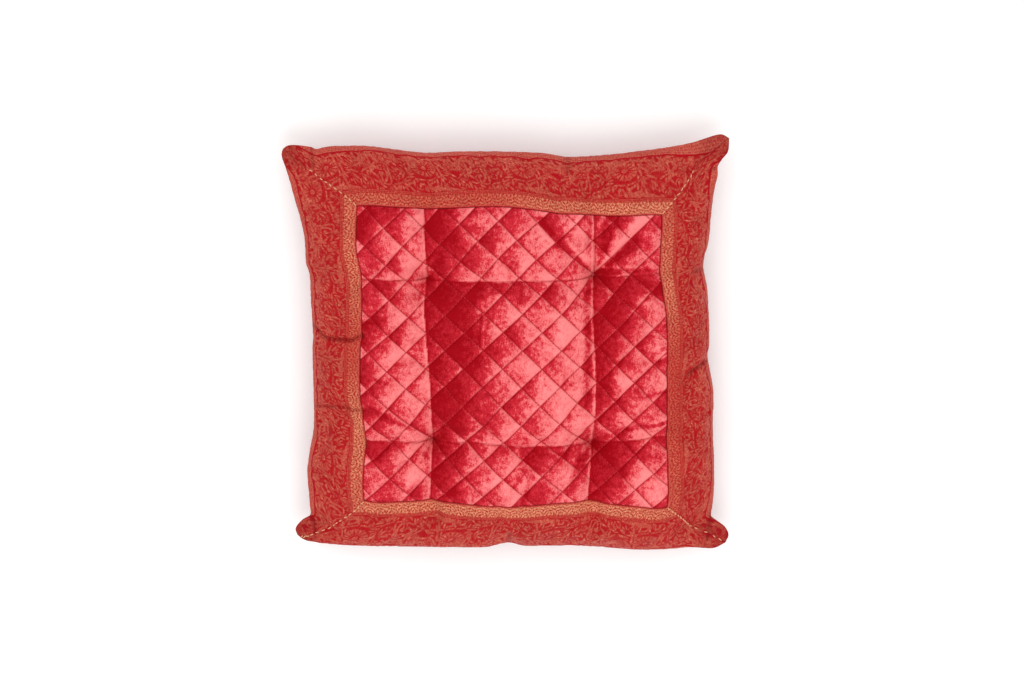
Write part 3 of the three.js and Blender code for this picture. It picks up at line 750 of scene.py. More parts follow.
class Nodes:
    """Adds shader nodes to a tree and joins them."""

    def __init__(self, tree):
        self.tree = tree

    def add(self, kind, inputs=None, **settings):
        node = self.tree.nodes.new(kind)
        for key, value in settings.items():
            setattr(node, key, value)
        self.fill(node, inputs or {})
        return node

    def fill(self, node, inputs):
        for key, value in inputs.items():
            self.put(node.inputs[key], value)

    def put(self, socket, value):
        if isinstance(value, bpy.types.NodeSocket):
            self.tree.links.new(value, socket)
        elif socket.type == "RGBA" and len(value) == 3:
            socket.default_value = (*value, 1)
        else:
            socket.default_value = value

    def math(self, operation, *values, clamp=False):
        node = self.add("ShaderNodeMath", operation=operation, use_clamp=clamp)
        for socket, value in zip(node.inputs, values):
            self.put(socket, value)
        return node.outputs[0]

    def plus(self, a, b):
        return self.math("ADD", a, b)

    def minus(self, a, b):
        return self.math("SUBTRACT", a, b)

    def larger(self, a, b):
        return self.math("MAXIMUM", a, b)

    def smaller(self, a, b):
        return self.math("MINIMUM", a, b)

    def times(self, a, b, more=0.0, clamp=False):
        """a times b, with more added."""
        return self.math("MULTIPLY_ADD", a, b, more, clamp=clamp)

    def ramp(self, factor, stops, interpolation="LINEAR"):
        node = self.add("ShaderNodeValToRGB", {"Fac": factor})
        node.color_ramp.interpolation = interpolation
        while len(node.color_ramp.elements) < len(stops):
            node.color_ramp.elements.new(0.5)
        for element, (at, colour) in zip(node.color_ramp.elements, stops):
            element.position = at
            element.color = (*colour, 1)
        return node.outputs["Color"]

    def mix(self, factor, first, second, blend="MIX"):
        node = self.add("ShaderNodeMix", data_type="RGBA", blend_type=blend)
        for k, value in ((0, factor), (6, first), (7, second)):
            self.put(node.inputs[k], value)
        return node.outputs[2]

    def noise(self, vector, scale, detail=2.0, roughness=0.5):
        return self.add("ShaderNodeTexNoise", {"Vector": vector, "Scale": scale, "Detail": detail,
                                               "Roughness": roughness}).outputs["Fac"]

    def drift(self, vector, scale, detail=2.0, roughness=0.5):
        """Noise that wanders either side of nothing."""
        return self.minus(self.noise(vector, scale, detail, roughness), 0.5)

    def scaled(self, vector, scale):
        return self.add("ShaderNodeMapping", {"Vector": vector, "Scale": scale}).outputs[0]

    def mark(self, name):
        """Numbers kept with the mesh, one for each point."""
        return self.add("ShaderNodeAttribute", attribute_name=name).outputs["Fac"]

    def parts(self, vector):
        return self.add("ShaderNodeSeparateXYZ", {"Vector": vector}).outputs

    def bump(self, height, distance):
        return self.add("ShaderNodeBump", {"Height": height, "Distance": distance}).outputs[0]

    def group(self, name, inputs):
        node = self.add("ShaderNodeGroup")
        node.node_tree = bpy.data.node_groups.get(name) or NODE_GROUPS[name](name)
        self.fill(node, inputs)
        return node.outputs

    def dyed(self, colour, place, size, amount):
        """A colour made uneven by its dye."""
        return self.group("Uneven Dye", {"Colour": colour, "Cloth": place, "Size": size,
                                         "Amount": amount})[0]


def new_group(name, inputs, outputs):
    """An empty node group: its nodes, its inputs, and the node that its results go to."""
    tree = bpy.data.node_groups.new(name, "ShaderNodeTree")
    for way, sockets in (("INPUT", inputs), ("OUTPUT", outputs)):
        for label, kind in sockets.items():
            tree.interface.new_socket(label, in_out=way, socket_type=f"NodeSocket{kind}")
    nodes = Nodes(tree)
    return nodes, nodes.add("NodeGroupInput").outputs, nodes.add("NodeGroupOutput")


def weave_group(name):
    """Plain weave: crossing threads of a given pitch, as a height and a shade."""
    nodes, given, result = new_group(name, {"Cloth": "Vector", "Threads": "Float"},
                                     {"Height": "Float", "Shade": "Float"})
    wobble = nodes.noise(given["Cloth"], 900.0, 1.0)
    waves = []
    for place in nodes.parts(given["Cloth"])[:2]:
        turns = nodes.times(wobble, 0.35, nodes.times(place, given["Threads"]))
        waves.append(nodes.math("SINE", nodes.times(turns, 2 * math.pi)))
    over = nodes.times(*waves)
    nodes.fill(result, {"Height": nodes.times(over, 0.5, 0.5),
                        "Shade": nodes.times(over, 0.12, 0.94)})
    return nodes.tree


def dye_group(name):
    """Uneven dye and handling: wanders a colour's value by soft noise."""
    nodes, given, result = new_group(
        name, {"Colour": "Color", "Cloth": "Vector", "Size": "Float", "Amount": "Float"},
        {"Colour": "Color"})
    value = nodes.times(nodes.drift(given["Cloth"], given["Size"], 3.0), given["Amount"], 1.0)
    dyed = nodes.add("ShaderNodeHueSaturation", {"Color": given["Colour"], "Value": value})
    nodes.fill(result, {"Colour": dyed.outputs[0]})
    return nodes.tree


def diamonds_group(name):
    """The quilting: how the pile of each diamond leans, with painted light on the side of it that
    faces the light and painted shade on the other, how near its stitching is, from 0 to 1, and how
    far, in millimetres."""
    nodes, given, result = new_group(name, {"Cloth": "Vector", "Waver": "Float"},
                                     {"Painted Lean": "Float", "Line": "Float", "Far": "Float"})
    across, up = (nodes.math("DIVIDE", nodes.minus(place, start * MM), size * MM)
                  for place, start, size in zip(nodes.parts(given["Cloth"]), CROSSING,
                                                (DIAMOND_WIDE, DIAMOND_HIGH)))
    falling, rising = nodes.plus(across, up), nodes.minus(across, up)
    spacing = DIAMOND_WIDE * DIAMOND_HIGH / math.hypot(DIAMOND_WIDE, DIAMOND_HIGH)
    places = [nodes.times(nodes.math("FRACT", count), 2.0, -1.0) for count in (falling, rising)]
    far = [nodes.times(nodes.minus(1.0, nodes.math("ABSOLUTE", place)), spacing / 2)
           for place in places]
    which = nodes.add("ShaderNodeCombineXYZ", {
        "X": nodes.math("FLOOR", falling), "Y": nodes.math("FLOOR", rising)})
    chance = nodes.add("ShaderNodeTexWhiteNoise", {"Vector": which.outputs[0]})
    each = nodes.add("ShaderNodeSeparateColor", {"Color": chance.outputs["Color"]}).outputs
    slope = nodes.plus(nodes.times(places[0], 0.8, places[1]), given["Waver"])
    lean_and_painted_light = nodes.times(slope, nodes.times(each[0], 0.18, 0.06), nodes.times(each[1], 0.22, -0.11))
    # The last millimetres before the stitching turn down steeply, painted light on one side of the
    # line and dark on the other.
    for place, amount in zip(places, (0.16, 0.24)):
        steep = nodes.math("POWER", nodes.math("ABSOLUTE", place), 9.0)
        lean_and_painted_light = nodes.times(nodes.times(steep, nodes.math("SIGN", place)), amount, lean_and_painted_light)
    near = nodes.smaller(*far)
    line = nodes.add("ShaderNodeMapRange", {"Value": near, "From Min": 0.15, "From Max": 0.9,
                                            "To Min": 1.0, "To Max": 0.0})
    nodes.fill(result, {"Painted Lean": lean_and_painted_light, "Line": line.outputs[0], "Far": near})
    return nodes.tree


NODE_GROUPS = {"Plain Weave": weave_group, "Uneven Dye": dye_group,
               "Quilted Diamonds": diamonds_group}


def new_material(name, colour):
    """A material: its nodes, its Principled shader, and the place on the flat cloth."""
    material = bpy.data.materials.new(name)
    material.use_nodes = True
    material.diffuse_color = (*colour, 1)
    nodes = Nodes(material.node_tree)
    shader = material.node_tree.nodes["Principled BSDF"]
    shader.inputs["Specular IOR Level"].default_value = 0.3
    cloth = nodes.add("ShaderNodeUVMap", uv_map="Cloth").outputs["UV"]
    return material, nodes, shader, cloth


def velvet_material(colours):
    """Crushed velvet: the pile's lean and the painted light and shade of its slopes and folds, kept
    with the mesh, set light and dark, and grain breaks the border between them."""
    material, nodes, shader, cloth = new_material("Crushed Velvet", colours.velvet_mid)
    clump = nodes.drift(cloth, 230.0, 2.0, 0.55)
    grain = nodes.drift(cloth, 800.0, 2.0, 0.7)
    rows = nodes.drift(nodes.scaled(cloth, (1.0, 0.3, 1.0)), 900.0, 1.0)
    quilting = nodes.group("Quilted Diamonds", {"Cloth": cloth, "Waver": nodes.times(clump, 1.5)})
    lean_and_painted_light = nodes.smaller(nodes.larger(nodes.mark("pile_lean_and_light"), 0.1), 0.92)
    lean_and_painted_light = nodes.plus(lean_and_painted_light, quilting["Painted Lean"])
    for part, amount in ((clump, 0.6), (grain, 0.8), (rows, 0.5)):
        lean_and_painted_light = nodes.times(part, amount, lean_and_painted_light)
    light, mid, dark = colours.velvet_light, colours.velvet_mid, colours.velvet_dark
    low = tuple(0.5 * m + 0.5 * d for m, d in zip(mid, dark))
    high = tuple(0.45 * m + 0.55 * h for m, h in zip(mid, light))
    colour = nodes.ramp(lean_and_painted_light, [(0.02, dark), (0.30, low), (0.49, mid), (0.70, high), (1, light)])
    # Painted shade: the colour is darkened along the quilting lines and in the creases' folds.
    sewn = nodes.larger(nodes.times(quilting["Line"], 0.58), nodes.times(nodes.mark("painted_fold_shade"), 0.8))
    height = nodes.times(clump, 0.8, nodes.noise(cloth, 1500.0, 2.0))
    groove = nodes.times(nodes.smaller(quilting["Far"], 1.6), 1.2)
    nodes.fill(shader, {
        "Base Color": nodes.dyed(nodes.mix(sewn, colour, dark), cloth, 60.0, 0.15),
        "Roughness": 0.8, "Specular IOR Level": 0.08, "Sheen Weight": 0.06,
        "Sheen Roughness": 0.35, "Sheen Tint": (1.0, 0.35, 0.35),
        "Normal": nodes.bump(nodes.plus(height, groove), 0.0003)})
    return material


def scallops(nodes, u, v, fray):
    """The band's scallops: rings round centres along the band's outer line."""
    pitch, centre, ring = 10.4, 11.2, 2.7
    place = nodes.math("FRACT", nodes.math("DIVIDE", u, pitch))
    place = nodes.times(nodes.minus(place, 0.5), pitch)
    squares = [nodes.math("POWER", part, 2.0) for part in (place, nodes.minus(v, centre))]
    far = nodes.math("SQRT", nodes.plus(*squares))
    rings = nodes.math("SINE", nodes.times(far, 2 * math.pi / ring))
    return nodes.times(fray, 4.6, nodes.times(rings, 0.26, 0.47), clamp=True)


def zone(nodes, v, *rows):
    """How much of something each zone of the ribbon has: where a zone starts, in millimetres
    out from the velvet, and how much it has."""
    return nodes.ramp(nodes.math("DIVIDE", v, RIBBON_WIDE), [
        (start / RIBBON_WIDE, (much, much, much)) for start, much in rows], "CONSTANT")


def brocade_material(colours):
    """Brocade: a vine with flowers in dull gold on red silk, between pinstripes and a band of
    scallops in brighter gold."""
    material, nodes, shader, cloth = new_material("Brocade", colours.brocade_gold)
    u, v = (nodes.times(place, 1 / MM) for place in nodes.parts(cloth)[:2])
    threads = nodes.scaled(cloth, (1.0, 0.5, 1.0))
    fray = nodes.drift(threads, 900.0, 3.0, 0.75)
    inside = nodes.mark("figure")
    figure = nodes.times(nodes.times(fray, 1.3, inside), 2.8, 0.6, clamp=True)
    # Fine lines, 1.5 mm apart, follow the figures' outlines, in gold on the ground and in red
    # on the gold.
    turns = nodes.times(nodes.noise(cloth, 160.0, 2.0), 9.0)
    lines = nodes.math("SINE", nodes.times(inside, 2 * math.pi / 1.5, turns))
    figure = nodes.times(lines, 0.17, nodes.times(figure, 0.80, 0.03), clamp=True)

    band = zone(nodes, v, (0, 0.4), (0.9, 1), (11.6, 0.5), (12.6, 0))
    stripes = zone(
        nodes, v, (0, 0), (0.9, 0.7), (1.5, 0), (12.0, 0.1), (12.6, 0.7), (13.4, 0.2),
        (14.0, 0.65), (14.8, 0.1), (15.4, 0), (52.6, 0.4), (53.8, 0.05), (55.0, 0.45),
        (56.2, 0.08), (57.6, 0.4), (59.0, 0.1), (60.4, 0.4), (61.8, 0.1))
    field = zone(nodes, v, (0, 0), (15.4, 1), (50.6, 0))
    outer = zone(nodes, v, (0, 0), (52.4, 1))
    stripes = nodes.times(outer, nodes.times(fray, 5.0, 0.22), stripes, clamp=True)
    # Painted light: the band's gold is scaled by how the light falls on each side.
    painted_lit_band = nodes.times(band, nodes.mark("band_painted_light"))
    gold = nodes.larger(nodes.times(scallops(nodes, u, v, fray), painted_lit_band), stripes)
    gold = nodes.larger(gold, nodes.times(figure, field))
    worn = nodes.times(nodes.drift(threads, 800.0, 2.0, 0.8), 3.0, 0.9, clamp=True)
    gold = nodes.times(gold, worn)

    # Here and there a thread glints: painted highlights of the brighter gold.
    glint = nodes.times(nodes.noise(threads, 480.0, 2.0, 0.8), 8.0, -4.4, clamp=True)
    bright = nodes.larger(nodes.times(painted_lit_band, 0.75, clamp=True), nodes.times(outer, 0.38))
    bright = nodes.larger(nodes.times(glint, 0.6), bright)
    thread = nodes.mix(bright, colours.brocade_gold, colours.band_gold)
    ground = nodes.mix(outer, colours.brocade_ground, colours.outer_silk)
    weave = nodes.group("Plain Weave", {"Cloth": cloth, "Threads": 1100.0})
    colour = nodes.mix(1.0, nodes.mix(gold, ground, thread), weave["Shade"], "MULTIPLY")
    colour = nodes.dyed(nodes.dyed(colour, threads, 800.0, 0.7), cloth, 40.0, 0.35)
    # Painted shade: the colour that the folds and the ears are darkened towards.
    fold_shade_colour = tuple(0.45 * part for part in colours.brocade_ground)
    height = nodes.times(gold, 0.8, nodes.times(weave["Height"], 0.5))
    nodes.fill(shader, {
        "Base Color": nodes.mix(nodes.times(nodes.mark("painted_fold_shade"), 0.85), colour, fold_shade_colour),
        "Metallic": nodes.times(gold, 0.25), "Roughness": nodes.times(gold, -0.15, 0.6),
        "Specular IOR Level": 0.1, "Normal": nodes.bump(height, 0.00022)})
    return material


def cotton_material(colours):
    """Plain red cotton for the back."""
    material, nodes, shader, cloth = new_material("Back Cotton", colours.back_cloth)
    weave = nodes.group("Plain Weave", {"Cloth": cloth, "Threads": 1250.0})
    slub = nodes.noise(nodes.scaled(cloth, (0.08, 1.0, 1.0)), 700.0, 2.0)
    colour = nodes.mix(1.0, colours.back_cloth, weave["Shade"], "MULTIPLY")
    nodes.fill(shader, {
        "Base Color": nodes.dyed(colour, cloth, 35.0, 0.35),
        "Roughness": nodes.times(slub, 0.2, 0.7), "Sheen Weight": 0.1,
        "Normal": nodes.bump(nodes.plus(weave["Height"], slub), 0.00016)})
    return material


def thread_material(name, colour, metallic):
    """Twisted sewing thread."""
    material, nodes, shader, _ = new_material(name, colour)
    place = nodes.add("ShaderNodeTexCoord").outputs["Object"]
    twist = nodes.noise(place, 2600.0, 2.0)
    nodes.fill(shader, {
        "Base Color": nodes.dyed(tuple(colour), place, 500.0, 0.6), "Metallic": metallic,
        "Roughness": nodes.times(twist, 0.3, 0.35), "Normal": nodes.bump(twist, 0.00012)})
    return material


# The brocade's figure, charted on its repeat: u along the ribbon, v out from the velvet.

REPEAT = 91.0
CHART_LOW, CHART_HIGH = 15, 52
# The ground between two leaves and round a flower, and half the width of a flower's veins.
LEAF_GAP, FLOWER_GAP, VEIN = 0.9, 1.6, 0.5
# The vine, and its tendrils: points of a smooth line, and its half width.
VINES = [
    ([(-9, 28.5), (0, 24.5), (9, 21), (20, 20.5), (30, 23), (40, 26.3), (52, 26.2), (62, 28.5),
      (72, 30.8), (82, 28.5), (91, 24.5), (100, 21)], 0.75),
    ([(62, 28.5), (72, 33.2), (80, 31), (84, 29)], 0.5),
    ([(30, 23), (33, 29), (31, 35), (28, 40)], 0.6),
    ([(9, 21), (7, 27), (10, 31), (13, 33)], 0.55),
    ([(44, 26), (40, 21), (44, 17.5), (48, 19)], 0.55),
    ([(91, 24.5), (86, 20), (88, 17), (92, 18)], 0.55),
]
# Flowers: centre u and v, radius along and across, lobes, lobe depth, veins, heart radius.
FLOWERS = [
    (52, 37.8, 12.2, 8.6, 15, 0.10, 15, 3.0), (14, 43.0, 9.6, 7.4, 6, 0.20, 6, 3.4),
    (12, 34.6, 4.6, 2.7, 5, 0.08, 5, 1.4), (33, 43.5, 4.6, 5.4, 5, 0.16, 5, 1.6),
    (24, 27.5, 3.8, 3.2, 5, 0.14, 5, 1.0), (68, 21.0, 4.4, 3.8, 6, 0.16, 6, 1.2),
]
# Sprays of leaves: base u and v, the first and last leaf's direction and length, how many there
# are, their bend and half width. Directions are in degrees, and 90 is away from the velvet.
SPRAYS = [
    (81, 29.5, 98, 21, 150, 13, 7, 26, 1.05), (83, 29.5, 84, 20, 40, 10, 5, -24, 1.05),
    (33, 27, 70, 16, 20, 9, 4, -25, 1.0), (28, 26, 110, 14, 160, 9, 4, 25, 1.0),
    (53, 47, 60, 5, 120, 5, 3, 10, 1.0), (9, 20, 250, 6, 320, 6, 3, 20, 1.2),
    (20, 20, 235, 6, 300, 6, 3, -20, 1.2), (30, 22, 250, 7, 325, 7, 3, 20, 1.2),
    (52, 25.5, 240, 9, 300, 9, 4, 15, 1.3), (62, 27.5, 230, 6, 280, 7, 2, -20, 1.2),
    (75, 29.5, 250, 10, 310, 10, 4, 20, 1.2), (84, 26.5, 240, 8, 300, 7, 3, 20, 1.2),
    (0, 24, 235, 7, 290, 7, 3, -15, 1.2), (40, 26, 230, 5, 260, 6, 2, 10, 1.1),
    (24, 49, 250, 9, 290, 9, 3, 0, 0.8), (37, 49, 255, 7, 285, 7, 2, 0, 0.8),
    (0, 48, 235, 9, 280, 10, 3, 12, 1.0), (66, 48, 255, 8, 300, 9, 3, -12, 0.9),
]


def off_middle(u, middle):
    """How far places are from a middle, going the shorter way round the repeat."""
    return (u - middle + REPEAT / 2) % REPEAT - REPEAT / 2


def leaf_depth(u, v, u0, v0, angle, length, bend, half):
    """How far inside a curved leaf places are."""
    ways = np.radians(angle + bend * np.linspace(0, 1, 7))
    steps = length / 7 * np.stack([np.cos(ways), np.sin(ways)], -1)
    points = np.r_[[(u0, v0)], (u0, v0) + np.cumsum(steps, 0)]
    middle = points[:, 0].mean()
    far, q = near_line(middle + off_middle(u, middle), v, points)
    return half * np.sin(math.pi * np.clip(q, 0.03, 0.97) ** 0.8) ** 0.6 - far


def figure_chart(step=0.35):
    """How far inside a figure of the brocade each place of one repeat is, in millimetres."""
    u, v = np.meshgrid(np.arange(0, REPEAT, step), np.arange(CHART_LOW, CHART_HIGH, step))
    inside = np.full(u.shape, -9.0)
    for points, half in VINES:
        knots = np.array(points, float)
        fine = np.linspace(0, len(points) - 1, 6 * len(points))
        line = np.stack([along(np.c_[range(len(points)), knots], fine, k) for k in (1, 2)], -1)
        for shift in (-REPEAT, 0, REPEAT):
            inside = np.maximum(inside, half - near_line(u + shift, v, line)[0])
    for u0, v0, first, long0, last, long1, count, bend, half in SPRAYS:
        for q in np.linspace(0, 1, count):
            leaf = leaf_depth(u, v, u0, v0, first + (last - first) * q,
                              long0 + (long1 - long0) * q, bend, half)
            # A thin line of ground parts each leaf from the ones before it.
            parted = np.maximum(leaf, np.minimum(inside, -leaf - LEAF_GAP))
            inside = np.where(leaf > -LEAF_GAP, parted, inside)
    for u0, v0, wide, high, lobes, deep, veins, heart in FLOWERS:
        du = off_middle(u, u0)
        dv = (v - v0) * wide / high
        r, angle = np.hypot(du, dv), np.arctan2(dv, du)
        rim = wide * (1 - deep + deep * np.abs(np.cos(angle * lobes / 2)))
        # Veins part the petals, and a ring parts the heart from them.
        petal = np.abs(np.sin(angle * veins / 2)) * r * 2 / veins - VEIN
        petals = np.minimum(rim - r, np.where(r > heart, petal, 9))
        flower = np.minimum(petals, np.abs(r - heart) - VEIN)
        inside = np.where(r < rim + FLOWER_GAP, np.where(r < rim, flower, rim - r), inside)
    # Small leaves fill the ground that is still bare, where there is room for one.
    tries, room = 900, 1.9
    chance = np.random.default_rng(17)
    for u0, v0, angle in zip(chance.uniform(0, REPEAT, tries), chance.uniform(15.5, 50.5, tries),
                             chance.uniform(0, 360, tries)):
        i, j = int(u0 / step), int((v0 - CHART_LOW) / step)
        bare = -inside[j, min(i, inside.shape[1] - 1)]
        if bare > room:
            half = min(1.15, bare - LEAF_GAP)
            way = math.radians(angle)
            leaf = leaf_depth(u, v, u0 - bare * math.cos(way), v0 - bare * math.sin(way), angle,
                              2 * bare, 25, half)
            inside = np.where(leaf > -0.6, np.maximum(inside, np.minimum(leaf, leaf + 0.1)),
                              inside)
    return inside, step


def figure_at(u, v, chart, step):
    """The chart's value at places of the ribbon."""
    rows, columns = chart.shape
    x, y = (u % REPEAT) / step, np.clip((v - CHART_LOW) / step, 0, rows - 1.001)
    x = x * columns * step / REPEAT
    i, j = np.floor(x).astype(int), np.floor(y).astype(int)
    a, b = x - i, y - j

    def at(dj, di):
        return chart[j + dj, (i + di) % columns]

    return (at(0, 0) * (1 - a) + at(0, 1) * a) * (1 - b) + (at(1, 0) * (1 - a) + at(1, 1) * a) * b


# The pieces and the stage


def hand_over(piece, material, slot, *stands_for):
    """Gives a finished piece its material and its place in the frame."""
    piece.data.materials.append(material)
    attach(piece, "root")
    if stands_for:
        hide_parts(*stands_for)


class CUSHION_OT_back(bpy.types.Operator):
    """Make the filled body with the plain cloth of its back"""
    bl_idname = "cushion.back"
    bl_label = "Filled back"

    def execute(self, context):
        cover = filled_cover(context)
        lines = np.concatenate([np.linspace(-1, -0.9, 14)[:-1], np.linspace(-0.9, 0.9, 160),
                                np.linspace(0.9, 1, 14)[1:]])
        s, t = np.meshgrid(lines, lines)
        front = cover.face(s, t)
        inner = (1 - smooth(cover.edge, 0.8, np.maximum(abs(s), abs(t))))[..., None]
        front = front - cover.outwards(s, t) * (TUCKED + 1.4 * inner) * (
            1 - smooth(0.97, 1, np.maximum(abs(s), abs(t)))[..., None])
        points, faces, behind = closed_cushion(front, cover.back(s, t))
        flat = np.zeros((len(points), 2))
        flat[behind.ravel()] = np.stack([s, t], -1).reshape(-1, 2) * cover.half + (0, 500)
        flat[:s.size] = np.stack([s, t], -1).reshape(-1, 2) * cover.half
        piece = made_mesh("filled_back_cloth", points, faces, flat)
        hand_over(piece, cotton_material(context.scene.cushion_colours), "back_cloth",
                  "filled_back")
        return {"FINISHED"}


class CUSHION_OT_panel(bpy.types.Operator):
    """Make the quilted velvet panel"""
    bl_idname = "cushion.panel"
    bl_label = "Velvet panel"

    def execute(self, context):
        cover = filled_cover(context)
        sizes = context.scene.cushion_sizes
        reach = cover.edge * cover.half - SEAM_GAP / 2
        lines = []
        for origin, diamond in ((CROSSING[0], DIAMOND_WIDE), (CROSSING[1], DIAMOND_HIGH)):
            step = diamond / DIAMOND_CELLS
            first, last = math.ceil((-reach - origin) / step), math.floor((reach - origin) / step)
            inside = [origin + k * step for k in range(first, last + 1)]
            lines.append(([-reach, *inside, reach], first - 1))
        (across, first_i), (up, first_j) = lines
        # The mesh follows the quilting, and straightens towards the panel's edge.
        u, v = np.meshgrid(across, up)
        loose = 1 - smooth(reach - 18, reach, np.maximum(abs(u), abs(v)))
        sewn = np.stack([u, v], -1) + crooked(u, v) * loose[..., None]
        s, t = np.moveaxis(sewn, -1, 0) / cover.half
        rows, columns = s.shape
        under = cover.face(s, t) + (0, 0, GAP)
        upper = cover.velvet_face(s, t, GAP + sizes.velvet / MM)
        # Each cell is cut along the quilting line that crosses it.
        j, i = np.mgrid[0:rows - 1, 0:columns - 1]
        falling = ((i + first_i + j + first_j + 1) % DIAMOND_CELLS == 0)[..., None]
        a = j * columns + i
        b, d, e = a + 1, a + columns, a + columns + 1
        one = np.where(falling, np.stack([a, b, d], -1), np.stack([a, b, e], -1))
        two = np.where(falling, np.stack([b, e, d], -1), np.stack([a, e, d], -1))
        triangles = np.concatenate([one.reshape(-1, 3), two.reshape(-1, 3)])

        lean_and_painted_light, painted_fold_shade = cover.pile_and_painted_light(s, t)
        piece = sheet_mesh("velvet_quilted_panel", upper, under, triangles,
                           cover.pattern(s, t), {"pile_lean_and_light": lean_and_painted_light, "painted_fold_shade": painted_fold_shade})
        hand_over(piece, velvet_material(context.scene.cushion_colours), "velvet",
                  "velvet_panel")
        return {"FINISHED"}


class CUSHION_OT_ribbons(bpy.types.Operator):
    """Make the four mitred brocade ribbons"""
    bl_idname = "cushion.ribbons"
    bl_label = "Brocade ribbons"

    def execute(self, context):
        cover = filled_cover(context)
        sizes = context.scene.cushion_sizes
        thick = sizes.ribbon / MM
        material = brocade_material(context.scene.cushion_colours)
        chart, step = figure_chart()
        gap = SEAM_GAP / cover.half
        rows, columns = RIBBON_ROWS, sizes.ribbon_cells + 1
        # Rows of the ribbon, closer together where the cloth turns down into the seam.
        out = cover.edge + gap / 2 + (1 - cover.edge - gap / 2) * np.linspace(0, 1, rows) ** 0.92
        share, out = np.meshgrid(np.linspace(-1, 1, columns), out)
        by = share * (out - gap)
        # How far along its repeat the figure starts on each ribbon.
        shift = {"top": 12, "right": 40, "bottom": 70, "left": 55}
        for side in ("top", "right", "bottom", "left"):
            s, t = {"top": (by, out), "right": (out, -by), "bottom": (-by, -out),
                    "left": (-out, by)}[side]
            t = cover.slid(s, t)
            skin, ways = cover.face(s, t), cover.outwards(s, t)
            uneven = 0.25 * noise(s * cover.half, t * cover.half, 3, 41)[..., None]
            under, upper = skin + GAP * ways, skin + (GAP + thick + uneven) * ways
            # The weave was cut a little narrower at the ears, and more so along the bottom.
            ends = -by if side == "top" else abs(by)
            narrow = ((6 if side == "bottom" else 1) + 3 * smooth(0.6, 0.9, ends)
                      + 10 * smooth(0.84, 0.95, ends))
            v = (out - cover.edge) * cover.half
            u, v = (by + 1) * cover.half, v - narrow * smooth(25, 52, v)
            figure = figure_at(u + shift[side], v, chart, step)
            # The folds and the ears lie in shade, painted into the colour.
            ear = smooth(0.86, 0.95, np.minimum(abs(s), abs(t)))
            painted_fold_shade = np.maximum(cover.clefts(s, t)[1], 0.45 * ear)
            # Painted light: each side's band is drawn brighter or darker by how the light falls on
            # it.
            band_painted_light = within(BAND_PAINTED_LIGHT[side], s if side in ("top", "bottom") else t)
            marks = {"figure": figure, "painted_fold_shade": painted_fold_shade, "band_painted_light": band_painted_light}
            piece = sheet_mesh(f"brocade_ribbon_{side}", upper, under, grid_faces(rows, columns),
                               np.stack([u, v], -1), marks)
            hand_over(piece, material, "brocade", f"brocade_{side}")
        return {"FINISHED"}


def one_stitch(length, wide):
    """One stitch, modelled as a rounded rod along X that dips at both ends."""
    bpy.ops.object.select_all(action="DESELECT")
    bpy.ops.mesh.primitive_cylinder_add(vertices=6, radius=wide / 2, depth=length,
                                        rotation=(0, math.pi / 2, 0))
    bpy.ops.object.mode_set(mode="EDIT")
    for at in (length / 5, -length / 5):
        bpy.ops.mesh.select_all(action="SELECT")
        bpy.ops.mesh.bisect(plane_co=(at, 0, 0), plane_no=(1, 0, 0))
    bpy.ops.object.mode_set(mode="OBJECT")
    rod = bpy.context.active_object
    bpy.ops.object.transform_apply(location=False, rotation=True, scale=True)
    mesh = rod.data
    points = np.empty(3 * len(mesh.vertices))
    mesh.vertices.foreach_get("co", points)
    points = points.reshape(-1, 3)
    ends = np.abs(points[:, 0]) > 0.45 * length
    points[ends, 1:] *= 0.55
    points[ends, 2] -= wide * 0.55
    faces = [list(p.vertices) for p in mesh.polygons]
    bpy.data.objects.remove(rod, do_unlink=True)
    bpy.data.meshes.remove(mesh)
    return points / MM, faces


def stitched(name, template, places, ways, ups):
    """A row of stitches: copies of one at places, each along its way and standing up."""
    points, faces = template
    along_x = ways / np.linalg.norm(ways, axis=-1, keepdims=True)
    along_y = np.cross(ups, along_x)
    along_y /= np.linalg.norm(along_y, axis=-1, keepdims=True)
    along_z = np.cross(along_x, along_y)
    turned = (points[None, :, :1] * along_x[:, None] + points[None, :, 1:2] * along_y[:, None]
              + points[None, :, 2:] * along_z[:, None] + places[:, None])
    count = len(points)
    every = [[n + k * count for n in face] for k in range(len(places)) for face in faces]
    return made_mesh(name, turned.reshape(-1, 3), every)


